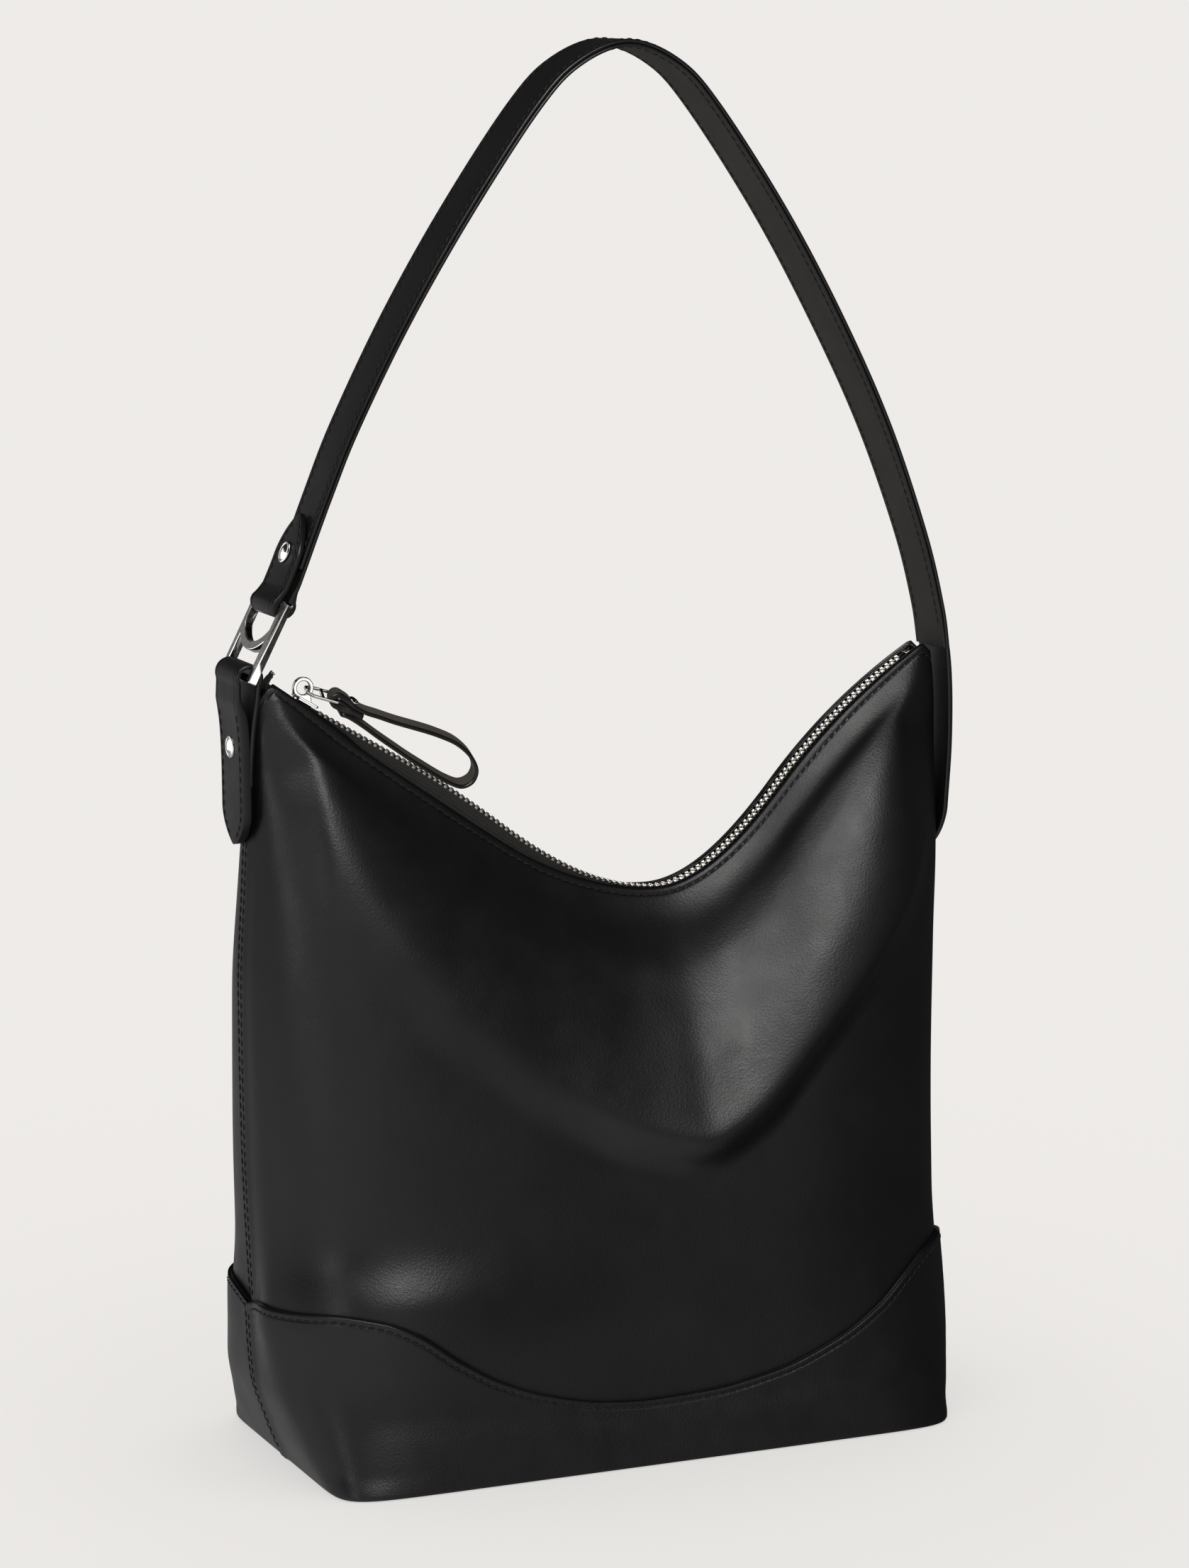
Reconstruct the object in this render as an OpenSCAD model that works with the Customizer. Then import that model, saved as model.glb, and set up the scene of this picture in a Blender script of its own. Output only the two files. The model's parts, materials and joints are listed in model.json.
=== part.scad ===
// Leather hobo bag: a soft lofted body with a dipped zip, a base band and one shoulder strap.
// Millimetres, +Z up. The origin is the middle of the flat base. +X runs to the sewn end of
// the strap, -X to the end with the metal ring, and -Y is the front.

/* [Body] */
// Length of the flat base
base_length = 290; // [270:1:310]
// Depth of the flat base
base_depth = 152; // [140:1:165]
// Height of the zip's left end
mouth_left_height = 338; // [334:1:342]
// Height of the zip's lowest point
mouth_dip_height = 238; // [230:1:246]
// Height of the zip's right end
mouth_right_height = 338; // [334:1:342]
// Half of the gap between the two lips
mouth_half_gap = 6.5; // [6:0.1:8]
// Thickness of the body leather
leather = 1.8; // [1.4:0.1:2]

/* [Base band] */
// Height of the band at the middle of the front and the back
band_middle = 29; // [24:1:34]
// Height of the band at the four corners
band_corner = 83; // [76:1:88]
// Height of the band at the side seams
band_side = 71; // [66:1:74]
// How far the panels reach down behind the band
band_overlap = 9; // [6:1:12]

/* [Strap] */
// Width of the strap over the shoulder
strap_width = 32; // [29:0.5:34]
// Width of the strap's two narrow ends
strap_end_width = 27; // [25:0.5:27]
// Thickness of each of the strap's two layers
strap_layer = 1.7; // [1.4:0.1:1.7]

/* [Metal] */
// Outside width of the strap ring
ring_width = 37; // [36:0.5:40]
// Thickness of the strap ring
ring_thickness = 3; // [2.5:0.1:3.2]
// Radius of the ring's two end bars
ring_bar = 1.7; // [1.5:0.1:1.7]
// Radius of the rivet caps
rivet_cap = 4.8; // [4:0.1:5.5]

/* [Zip] */
// Distance between the teeth on one side
tooth_pitch = 2.9; // [2.8:0.1:3.2]
// Width of the leather pull
pull_width = 6.6; // [6:0.1:7]

/* [Hidden] */
clearance = 0.1;

// ---- Curves ----
function mix(a, b, f) = a + (b - a) * f;
function clamp01(f) = min(1, max(0, f));
function smooth(f) = let (c = clamp01(f)) c * c * (3 - 2 * c);
function ramp(lo, hi, value) = smooth((value - lo) / (hi - lo));

// Cubic from [x0, z0] to [x1, z1] with end slopes s0 and s1
function hermite(x0, z0, s0, x1, z1, s1, x) =
    let (w = x1 - x0, f = (x - x0) / w, g = 1 - f)
    z0 * (1 + 2 * f) * g * g + z1 * f * f * (3 - 2 * f) + w * f * g * (s0 * g - s1 * f);

// A smooth curve through hand-set points, cut into steps per span
function spline_point(p, i, f) =
    let (a = p[max(i - 1, 0)], b = p[i], c = p[i + 1], d = p[min(i + 2, len(p) - 1)])
    0.5 * (2 * b + (c - a) * f + (2 * a - 5 * b + 4 * c - d) * f * f
    + (3 * b - a - 3 * c + d) * f * f * f);
function spline(p, steps) = [
    for (i = [0 : len(p) - 2], k = [0 : steps - 1]) spline_point(p, i, k / steps),
    p[len(p) - 1]
];
function arc(centre, r, from, to, steps) = [
    for (k = [0 : steps]) let (a = mix(from, to, k / steps)) centre + r * [cos(a), sin(a)]
];

// ---- Mouth: the height of the lips along X ----
mouth_slope = -0.7;
mouth_left = -148;
mouth_bend = -42;
mouth_dip = 28;
mouth_rise = 88;
mouth_right = 157;
function mouth_bend_height() = mouth_left_height + mouth_slope * (mouth_bend - mouth_left);
function mouth_curve(x) =
    x < mouth_bend ? mouth_left_height + mouth_slope * (x - mouth_left) :
    x < mouth_dip ? hermite(mouth_bend, mouth_bend_height(), mouth_slope,
                            mouth_dip, mouth_dip_height, 0, x) :
    x < mouth_rise ? hermite(mouth_dip, mouth_dip_height, 0, mouth_rise, mouth_dip_height + 41, 1.2, x) :
    hermite(mouth_rise, mouth_dip_height + 41, 1.2, mouth_right, mouth_right_height, 0.62, x);
// The panels' top corners are cut off at a slant beyond both ends of the zip
corner_slant = 1;
function mouth_height(x) =
    x < mouth_left ? mouth_left_height + corner_slant * (x - mouth_left) :
    x > mouth_right ? mouth_curve(mouth_right) - corner_slant * (x - mouth_right) :
    mouth_curve(x);

// ---- Body: sections run from the base (v = 0) to the mouth (v = 1) ----
// The base band lies outside these sections, so they start inside the foot's full size
band_gap = 0.5;
band_cover = band_gap + leather;
half_base = base_length / 2 - band_cover;
half_depth = base_depth / 2 - band_cover;
LEFT_SIDE = [
    [0, -half_base], [0.06, -half_base - 7.5], [0.12, -half_base - 13.5], [0.22, -half_base - 15.5],
    [0.45, -half_base - 18.5], [0.62, -half_base - 19], [0.75, -half_base - 17],
    [0.86, -half_base - 15], [0.94, -half_base - 13.5], [1, -half_base - 11]
];
RIGHT_SIDE = [
    [0, half_base], [0.06, half_base + 7.5], [0.12, half_base + 12.5], [0.22, half_base + 15],
    [0.45, half_base + 16], [0.62, half_base + 18], [0.8, half_base + 21],
    [0.9, half_base + 21], [1, half_base + 19]
];
DEPTH = [
    [0, half_depth], [0.06, half_depth - 4.5], [0.12, half_depth - 9], [0.3, half_depth - 13],
    [0.5, half_depth - 20], [0.7, half_depth - 30], [0.85, half_depth - 46],
    [0.95, mouth_half_gap + 6], [1, mouth_half_gap]
];
SQUARENESS = [[0, 14], [0.03, 8.5], [0.12, 5], [0.3, 3.2], [0.75, 3], [0.9, 3.4], [1, 10]];

// Point of the body's outer face, moved out by grow. Angle 270 is the front, 180 the left seam.
function body_point(v, angle, grow) =
    let (n = lookup(v, SQUARENESS), c = cos(angle), s = sin(angle))
    let (r = pow(pow(abs(c), n) + pow(abs(s), n), -1 / n))
    let (left = lookup(v, LEFT_SIDE), right = lookup(v, RIGHT_SIDE))
    [
        (left + right) / 2 + ((right - left) / 2 + grow) * r * c,
        (lookup(v, DEPTH) + grow) * r * s,
        v * mouth_height(body_mouth_x(angle))
    ];
function body_mouth_x(angle) =
    let (n = lookup(1, SQUARENESS), c = cos(angle), s = sin(angle))
    let (r = pow(pow(abs(c), n) + pow(abs(s), n), -1 / n))
    let (left = lookup(1, LEFT_SIDE), right = lookup(1, RIGHT_SIDE))
    (left + right) / 2 + (right - left) / 2 * r * c;
// Height of the band's top edge around the body
function band_height(angle) =
    let (from_middle = abs(abs(angle - 180) - 90))
    mix(band_middle, band_corner, ramp(12, 50, from_middle))
    - (band_corner - band_side) * ramp(55, 90, from_middle);
function band_v(angle) = band_height(angle) / mouth_height(body_mouth_x(angle));

columns = 48;
seam_gap = 0.06;
// One half of the body, side +1 for the back and -1 for the front, with a row for each height
function half_rows(side, heights, grow) = [
    for (height = heights) [
        for (k = [0 : columns]) let (a = side * mix(0, 180, k / columns) + (side < 0 ? 360 : 0))
            body_point(height(a), a, grow) + [0, side * seam_gap, 0]
    ]
];

// A thin closed sheet between two grids of points
module sheet_solid(outer, inner, flip) {
    m = len(outer);
    n = len(outer[0]);
    points = concat([for (row = outer) each row], [for (row = inner) each row]);
    function outer_at(i, j) = i * n + j;
    function inner_at(i, j) = (m + i) * n + j;
    function quad(a, b, c, d) = [[a, b, c], [a, c, d]];
    faces = concat(
        [for (i = [0 : m - 2], j = [0 : n - 2])
            each quad(outer_at(i, j), outer_at(i + 1, j), outer_at(i + 1, j + 1), outer_at(i, j + 1))],
        [for (i = [0 : m - 2], j = [0 : n - 2])
            each quad(inner_at(i, j), inner_at(i, j + 1), inner_at(i + 1, j + 1), inner_at(i + 1, j))],
        [for (j = [0 : n - 2])
            each quad(outer_at(0, j), outer_at(0, j + 1), inner_at(0, j + 1), inner_at(0, j))],
        [for (j = [0 : n - 2])
            each quad(outer_at(m - 1, j + 1), outer_at(m - 1, j), inner_at(m - 1, j), inner_at(m - 1, j + 1))],
        [for (i = [0 : m - 2])
            each quad(outer_at(i + 1, 0), outer_at(i, 0), inner_at(i, 0), inner_at(i + 1, 0))],
        [for (i = [0 : m - 2])
            each quad(outer_at(i, n - 1), outer_at(i + 1, n - 1), inner_at(i + 1, n - 1), inner_at(i, n - 1))]
    );
    polyhedron(points, flip ? [for (f = faces) [f[2], f[1], f[0]]] : faces);
}

// ---- Ribbons: a flat cross-section carried along a path in the XZ plane ----
function tangent(path, i) =
    let (a = path[max(i - 1, 0)], b = path[min(i + 1, len(path) - 1)]) (b - a) / norm(b - a);
function normal(path, i) = let (t = tangent(path, i)) [-t[1], t[0]];
// Cross-section corners are [y, n], with n along the path's left-hand normal
module ribbon(path, sections) {
    k = len(sections[0]);
    rings = [
        for (i = [0 : len(path) - 1], c = sections[i])
            let (p = path[i] + c[1] * normal(path, i)) [p[0], c[0], p[1]]
    ];
    last = (len(path) - 1) * k;
    faces = concat(
        [for (i = [0 : len(path) - 2], j = [0 : k - 1])
            let (a = i * k + j, b = i * k + (j + 1) % k) each [[a, b, b + k], [a, b + k, a + k]]],
        [[for (j = [k - 1 : -1 : 0]) j]],
        [[for (j = [0 : k - 1]) last + j]]
    );
    polyhedron(rings, faces);
}
function strip(y0, y1, n0, n1) = [[y0, n0], [y1, n0], [y1, n1], [y0, n1]];
module flat_ribbon(path, widths, low, high) {
    ribbon(path, [for (w = widths) strip(-w / 2, w / 2, low, high)]);
}

// ---- Body leather ----
panel_rows = 12;
band_rows = 5;
function panel_low(a) = band_v(a) - band_overlap / mouth_height(body_mouth_x(a));
// The first row of each panel lies behind the band, and the rest share the height above it
PANEL_HEIGHTS = [
    function (a) panel_low(a),
    for (i = [0 : panel_rows]) function (a) mix(band_v(a), 1, i / panel_rows)
];
BAND_HEIGHTS = [for (i = [0 : band_rows]) function (a) band_v(a) * i / band_rows];

module half_panel(side) {
    color("black") sheet_solid(
        half_rows(side, PANEL_HEIGHTS, 0),
        half_rows(side, PANEL_HEIGHTS, -leather),
        side > 0
    );
}
module front_panel() { half_panel(-1); }
module back_panel() { half_panel(1); }

module half_band(side) {
    color("black") sheet_solid(
        half_rows(side, BAND_HEIGHTS, band_cover),
        half_rows(side, BAND_HEIGHTS, band_gap),
        side > 0
    );
}
module front_base_band() { half_band(-1); }
module back_base_band() { half_band(1); }

// Outline of the foot, moved out by grow
module foot_outline(grow) {
    steps = 96;
    polygon([for (k = [0 : steps - 1]) let (p = body_point(0, k * 360 / steps, grow)) [p[0], p[1]]]);
}
board_thickness = 2.4;
module bottom_panel() {
    color("black") linear_extrude(leather) foot_outline(-clearance);
}
module base_board() {
    color("tan") translate([0, 0, leather]) linear_extrude(board_thickness) foot_outline(-7);
}

// ---- Lining: an open pouch inside the panels ----
lining_thickness = 0.8;
lining_floor = leather + board_thickness + clearance;
lining_top_drop = 14;
lining_rows = 9;
lining_columns = 72;
lining_inset = leather + 1.4;
function lining_row(i, grow) = [
    for (k = [0 : lining_columns - 1])
        let (a = k * 360 / lining_columns, top = mouth_height(body_mouth_x(a)))
        body_point(mix(lining_floor, top - lining_top_drop, i / lining_rows) / top, a, grow)
];
module lining() {
    n = lining_columns;
    m = lining_rows + 1;
    outer = [for (i = [0 : lining_rows]) lining_row(i, -lining_inset)];
    inner = [for (i = [0 : lining_rows]) lining_row(i, -lining_inset - lining_thickness)];
    lift = [0, 0, lining_thickness];
    raised = [for (i = [0 : lining_rows]) [for (p = inner[i]) i == 0 ? p + lift : p]];
    hub = 2 * m * n;
    points = concat(
        [for (row = outer) each row],
        [for (row = raised) each row],
        [[0, 0, lining_floor], [0, 0, lining_floor + lining_thickness]]
    );
    faces = concat(
        [for (i = [0 : m - 2], j = [0 : n - 1]) let (a = i * n + j, b = i * n + (j + 1) % n)
            each [[a, a + n, b + n], [a, b + n, b]]],
        [for (i = [0 : m - 2], j = [0 : n - 1]) let (a = (m + i) * n + j, b = (m + i) * n + (j + 1) % n)
            each [[a, b, b + n], [a, b + n, a + n]]],
        [for (j = [0 : n - 1]) let (a = (m - 1) * n + j, b = (m - 1) * n + (j + 1) % n)
            each [[a, a + m * n, b + m * n], [a, b + m * n, b]]],
        [for (j = [0 : n - 1]) [j, (j + 1) % n, hub]],
        [for (j = [0 : n - 1]) [m * n + (j + 1) % n, m * n + j, hub + 1]]
    );
    color("dimgray") polyhedron(points, faces);
}

// ---- Zip ----
zip_drop = 1.6;
zip_inset = 3;
zip_steps = 64;
zip_start = mouth_left + zip_inset;
zip_end = mouth_right - zip_inset;
// The zip keeps straight at its left end, while the soft lips sag below it
zip_slope = -0.6;
lift_start = -124;
lift_height = 3;
lift_bend = -85;
lift_end = 45;
function straight_lift(x) = lift_height + (zip_slope - mouth_slope) * (x - lift_start);
function zip_height(x) =
    mouth_height(x) + (
        x < lift_bend ? straight_lift(x) :
        x < lift_end ? hermite(lift_bend, straight_lift(lift_bend), zip_slope - mouth_slope, lift_end, 0, 0, x) :
        0
    );
ZIP_X = [for (k = [0 : zip_steps]) mix(zip_start, zip_end, k / zip_steps)];
ZIP_PATH = [for (x = ZIP_X) [x, zip_height(x)]];
tape_thickness = 0.5;
facing_depth = 13;
facing_thickness = 0.7;
facing_inset = 3;
// Room between the lips' inner faces and what lies behind them
lip_gap = 0.35;
FACING_PATH = [for (k = [facing_inset : zip_steps - facing_inset]) [ZIP_X[k], mouth_height(ZIP_X[k])]];
module facing(side) {
    face = side * (mouth_half_gap - leather - lip_gap);
    back = face - side * facing_thickness;
    top = -zip_drop - tape_thickness;
    shape = strip(min(face, back), max(face, back), top - facing_depth, top);
    color("black") ribbon(FACING_PATH, [for (p = FACING_PATH) shape]);
}
module front_facing() { facing(-1); }
module back_facing() { facing(1); }

tape_inner = 1.8;
tape_outer = 3.8;
module zip_tape(side) {
    shape = strip(min(side * tape_inner, side * tape_outer), max(side * tape_inner, side * tape_outer),
                  -zip_drop - tape_thickness / 2, -zip_drop + tape_thickness / 2);
    color("black") ribbon(ZIP_PATH, [for (p = ZIP_PATH) shape]);
}
module front_zip_tape() { zip_tape(-1); }
module back_zip_tape() { zip_tape(1); }

// Teeth are set out along the zip by distance, so a table of distances is built first
tooth_length = 1.3;
tooth_height = 2;
tooth_reach = 0.9;
tooth_root = 2.8;
function step_length(i) = norm(ZIP_PATH[i + 1] - ZIP_PATH[i]);
function distances(i = 0, sum = 0) =
    i > zip_steps ? [] : concat([[sum, i]], distances(i + 1, i < zip_steps ? sum + step_length(i) : sum));
ZIP_DISTANCE = distances();
function zip_at(s) =
    let (u = lookup(s, ZIP_DISTANCE), i = min(floor(u), zip_steps - 1))
    concat(mix(ZIP_PATH[i], ZIP_PATH[i + 1], u - i), [let (d = ZIP_PATH[i + 1] - ZIP_PATH[i]) atan2(d[1], d[0])]);
// The teeth are shut from just behind the slider to the far stop
teeth_start = 23.5;
teeth_end = ZIP_DISTANCE[zip_steps][0] - 6;
tooth_count = floor((teeth_end - teeth_start) / tooth_pitch);
module zip_teeth(side) {
    lag = side > 0 ? tooth_pitch / 2 : 0;
    color("silver") for (k = [0 : tooth_count - 1]) {
        p = zip_at(teeth_start + lag + k * tooth_pitch);
        translate([p[0], 0, p[1]]) rotate([0, -p[2], 0])
            translate([-tooth_length / 2, side > 0 ? -tooth_reach : -tooth_root, -zip_drop - tooth_height / 2])
                cube([tooth_length, tooth_root + tooth_reach, tooth_height]);
    }
}
module front_zip_teeth() { zip_teeth(-1); }
module back_zip_teeth() { zip_teeth(1); }

stop_size = [2, 5.4, 2];
stop_inset = 3;
module zip_stops() {
    color("silver") for (s = [stop_inset, ZIP_DISTANCE[zip_steps][0] - stop_inset]) {
        p = zip_at(s);
        translate([p[0], 0, p[1]]) rotate([0, -p[2], 0])
            translate([-stop_size[0] / 2, -stop_size[1] / 2, -zip_drop - stop_size[2] / 2]) cube(stop_size);
    }
}
// The folded tail of both tapes, tucked behind the left corner of the mouth
module zip_tape_end() {
    path = [[mouth_left - 1.5, mouth_left_height - 3], [mouth_left, mouth_left_height + 1],
            [mouth_left + 1.4, mouth_left_height + 2.2]];
    color("black") flat_ribbon(path, [6, 7, 6], -0.6, 0.6);
}

// ---- Slider, in a frame whose X runs down the zip and whose Z stands off it ----
slider_x = -131.5;
slider_angle = -atan(zip_slope);
slider_length = 12;
slider_width = 6.6;
slider_plate = 1;
plate_gap = 0.35;
bridge_radius = 4.6;
bridge_hole = 2.9;
bridge_thickness = 2.2;
bridge_centre = [-3.6, 3.85];
top_plate = -zip_drop + tooth_height / 2 + plate_gap;
bottom_plate = -zip_drop - tooth_height / 2 - plate_gap - slider_plate;
module at_slider() {
    translate([slider_x, 0, zip_height(slider_x)]) rotate([0, slider_angle, 0]) children();
}
module slider_outline() {
    l = slider_length / 2;
    w = slider_width / 2;
    nose = 2;
    polygon([[-l, -nose], [-l + 2, -w], [l - 1, -w], [l, -w + 1], [l, w - 1], [l - 1, w], [-l + 2, w], [-l, nose]]);
}
module zip_slider() {
    flange = 0.7;
    flange_drop = 0.6;
    color("silver") at_slider() {
        translate([0, 0, top_plate]) linear_extrude(slider_plate) slider_outline();
        translate([0, 0, bottom_plate]) linear_extrude(slider_plate) slider_outline();
        for (side = [-1, 1]) translate([-slider_length / 2 + 2, side * (slider_width - flange) / 2 - flange / 2, 0])
            translate([0, 0, top_plate - flange_drop]) cube([slider_length - 3, flange, flange_drop]);
        // The wedge that parts the teeth joins the two plates at the nose
        translate([-slider_length / 2 + 0.6, 0, bottom_plate]) linear_extrude(top_plate + slider_plate - bottom_plate)
            polygon([[0, -1], [1.6, -1.2], [3.4, 0], [1.6, 1.2], [0, 1]]);
        translate([0, bridge_thickness / 2, top_plate + slider_plate]) rotate([90, 0, 0])
            linear_extrude(bridge_thickness) difference() {
                union() {
                    translate(bridge_centre) circle(r = bridge_radius, $fn = 64);
                    polygon([[-6, -0.3], [3, -0.3], [2.4, 1.6], [0.6, 4], [-7.6, 2.4]]);
                }
                translate(bridge_centre) circle(r = bridge_hole, $fn = 64);
            }
    }
}

// ---- Pull: a slotted link on the bridge and a leather loop on the link ----
link_bar = 0.7;
link_length = 14;
link_width = 8;
link_thickness = 1.2;
link_pitch = 18;
// The link's inner bar lies in the bridge's hole
link_pivot = [-130.6, 333.4];
link_end = link_pivot + link_length * [cos(link_pitch), -sin(link_pitch)];
module at_link() {
    translate([link_pivot[0], 0, link_pivot[1]]) rotate([0, link_pitch, 0]) children();
}
module pull_link() {
    rail = 1;
    web = 1.1;
    color("silver") at_link() {
        translate([0, 0, -link_thickness / 2]) linear_extrude(link_thickness) {
            for (side = [-1, 1]) translate([-link_bar, side * (link_width - rail) / 2 - rail / 2])
                square([link_length + 2 * link_bar, rail]);
            translate([link_length * 0.52 - web / 2, -link_width / 2]) square([web, link_width]);
        }
        for (x = [0, link_length]) translate([x, 0, 0]) rotate([90, 0, 0])
            translate([0, 0, -link_width / 2]) cylinder(r = link_bar, h = link_width, $fn = 32);
    }
}

pull_thickness = 1.6;
pull_turn = link_bar + 0.45 + pull_thickness / 2;
// The fold is narrower than the rest of the pull, so that it fits the link's outer slot
fold_width = 5.2;
// From the short end under the link, round its outer bar, along the teardrop and back
PULL_TAIL = [[-106.4, 321.8], [-110, 323.7], [-114.5, 325.8]];
PULL_LOOP = [
    [-113.1, 328.6], [-108.9, 325.7], [-104.5, 323.3], [-99, 321.3], [-90.6, 318.1], [-78, 313.9],
    [-71, 311.2], [-64, 307.8], [-58.4, 303.1], [-55.2, 298.2], [-54.6, 294.2], [-56.8, 290.4],
    [-61.6, 288.9], [-67.2, 291], [-72.2, 293.9], [-78.2, 297.8], [-85.1, 302.4], [-90.7, 306.4],
    [-99, 312.4], [-105.7, 317.5], [-111.2, 321.3], [-115.6, 323.7]
];
PULL_PATH = concat(
    spline(PULL_TAIL, 3),
    arc(link_end, pull_turn, -117, -297, 8),
    spline(PULL_LOOP, 3)
);
PULL_WIDTHS = [
    for (p = PULL_PATH) norm(p - link_end) < pull_turn + 0.1 && p[0] < link_end[0] + 0.5 ? fold_width : pull_width
];
module zip_pull() {
    color("black") flat_ribbon(PULL_PATH, PULL_WIDTHS, -pull_thickness / 2, pull_thickness / 2);
}
pull_rivet_place = [-109.75, 0, 327.15];
module pull_rivet() {
    color("silver") translate(pull_rivet_place) rotate([0, 34, 0]) {
        rotate_extrude($fn = 48) polygon([[0, 0.35], [2, 0.35], [1.7, 0.9], [1, 1.2], [0, 1.3]]);
    }
}

// ---- Strap ----
STRAP_ROUTE = [
    [165.6, 336], [162.4, 355], [153.5, 387], [135, 435], [111.5, 482], [84, 529], [52, 574.5],
    [33, 593.5], [10.5, 601.5], [-12, 593.5], [-31, 575], [-62, 531.5], [-89, 488], [-112, 444.5],
    [-124.4, 416], [-136.3, 386]
];
strap_steps = 4;
ROUTE = spline(STRAP_ROUTE, strap_steps);
function strap_width_at(i) =
    let (f = i / (len(ROUTE) - 1)) mix(strap_end_width, strap_width, ramp(0, 0.3, f) * ramp(0, 0.35, 1 - f));
ROUTE_WIDTHS = [for (i = [0 : len(ROUTE) - 1]) strap_width_at(i)];
module strap_outer_layer() {
    // The route runs from right to left over the shoulder, so its left-hand normal points inwards
    color("black") flat_ribbon(ROUTE, ROUTE_WIDTHS, -strap_layer, -clearance / 2);
}

upper_bar = [-145.2, 371.5];
lower_bar = [-160.4, 341.5];
leaf_thickness = 2.4;
strap_turn = ring_bar + 0.45 + leaf_thickness / 2;
turn_steps = 12;
LEAF = [[-143.8, 378], [-140.2, 386], [-137.4, 393], [-134.5, 400.5], [-131.6, 408]];
// The inner layer runs on past the outer one, round the ring's upper bar and back up outside
INNER_TURN = concat(
    [[-137.8, 380]],
    arc(upper_bar, strap_turn, 14, -196, turn_steps),
    spline(LEAF, 3)
);
leaf_from = 388;
leaf_tip = 409;
function leaf_width(k) =
    k < turn_steps + 2 ? strap_end_width :
    mix(strap_end_width, 6, ramp(leaf_from, leaf_tip, INNER_TURN[k][1]));
module strap_inner_layer() {
    inner = [for (i = [0 : len(ROUTE) - 1]) ROUTE[i] + strap_layer / 2 * normal(ROUTE, i)];
    path = concat(inner, INNER_TURN);
    widths = concat(ROUTE_WIDTHS, [for (k = [0 : len(INNER_TURN) - 1]) leaf_width(k)]);
    thick = concat([for (p = inner) strap_layer / 2 - clearance / 2], [for (k = [0 : len(INNER_TURN) - 1])
        mix(strap_layer / 2, leaf_thickness / 2, ramp(0, 4, k))]);
    color("black") ribbon(path, [
        for (i = [0 : len(path) - 1]) strip(-widths[i] / 2, widths[i] / 2, -thick[i], thick[i])
    ]);
}

// A domed cap outside the leather, with its shank and its washer inside
module rivet(place, lean, through) {
    color("silver") translate([place[0], 0, place[1]]) rotate([0, lean, 0]) rotate_extrude($fn = 64) polygon([
        [0, -through - 1], [3.6, -through - 1], [3.6, -through - 0.1], [1.3, -through - 0.1], [1.3, 0.1],
        [rivet_cap, 0.1], [rivet_cap, 0.9], [rivet_cap - 1.2, 1.7], [rivet_cap - 2.8, 2.1], [0, 2.2]
    ]);
}
module strap_rivet() { rivet([-139.1, 392], -68, 7); }

// ---- Strap ring: an H-shaped frame in the plane of its two bars ----
ring_lean = atan2(upper_bar[0] - lower_bar[0], upper_bar[1] - lower_bar[1]);
ring_reach = norm(upper_bar - lower_bar);
ring_arm = 3.4;
cross_bar = 11.8;
cross_bar_width = 3.2;
cross_bar_bend = 19;
module at_ring() {
    translate([lower_bar[0], 0, lower_bar[1]]) rotate([0, ring_lean, 0]) children();
}
module strap_ring() {
    half = ring_width / 2;
    opening = half - ring_arm;
    bend_centre = cross_bar + cross_bar_width + cross_bar_bend;
    color("silver") at_ring() {
        rotate([90, 0, 90]) translate([0, 0, -ring_thickness / 2]) linear_extrude(ring_thickness) difference() {
            translate([-half, -ring_bar]) square([ring_width, ring_reach + 2 * ring_bar]);
            // Lower opening, under the curved cross bar
            difference() {
                translate([-opening, -2 * ring_bar]) square([2 * opening, bend_centre]);
                translate([0, bend_centre]) circle(r = cross_bar_bend + cross_bar_width, $fn = 128);
                translate([-opening, bend_centre - 14]) square([2 * opening, bend_centre]);
            }
            // Upper opening, round at its foot
            intersection() {
                translate([-opening, 0]) square([2 * opening, ring_reach + 3 * ring_bar]);
                union() {
                    translate([0, bend_centre]) circle(r = cross_bar_bend, $fn = 128);
                    translate([-opening, bend_centre - 2]) square([2 * opening, ring_reach]);
                }
            }
        }
        for (z = [0, ring_reach]) translate([0, half - 0.5, z]) rotate([90, 0, 0])
            cylinder(r = ring_bar, h = ring_width - 1, $fn = 48);
    }
}

// ---- Ring tab: a folded leather strip on the left side ----
tab_thickness = 2;
tab_turn = 5.1;
TAB_INNER = [[-160.5, 296], [-160.1, 306], [-158.9, 320], [-157.2, 331]];
TAB_OUTER = [[-165.4, 331], [-163.8, 321], [-163, 308], [-163, 292], [-163, 280], [-161.8, 270]];
TAB_PATH = concat(
    spline(TAB_INNER, 3),
    arc(lower_bar, tab_turn, -40, 205, 14),
    spline(TAB_OUTER, 3)
);
module ring_tab() {
    color("black") flat_ribbon(TAB_PATH, [
        for (k = [0 : len(TAB_PATH) - 1]) k < 26 ? strap_end_width
            : mix(6, strap_end_width, ramp(268, 290, TAB_PATH[k][1]))
    ], -tab_thickness / 2, tab_thickness / 2);
}
module tab_rivet() { rivet([-164.2, 311.5], -90, 9.1); }

// ---- Strap anchor: the strap's sewn end on the right side ----
anchor_thickness = 2;
ANCHOR = [[165.8, 335.4], [167, 325], [167.6, 310], [167.4, 290], [166, 268], [164.6, 246]];
ANCHOR_PATH = spline(ANCHOR, 4);
module strap_anchor() {
    color("black") flat_ribbon(ANCHOR_PATH, [
        for (p = ANCHOR_PATH) mix(6, strap_end_width, ramp(244, 268, p[1]))
    ], -anchor_thickness / 2, anchor_thickness / 2);
}

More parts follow.
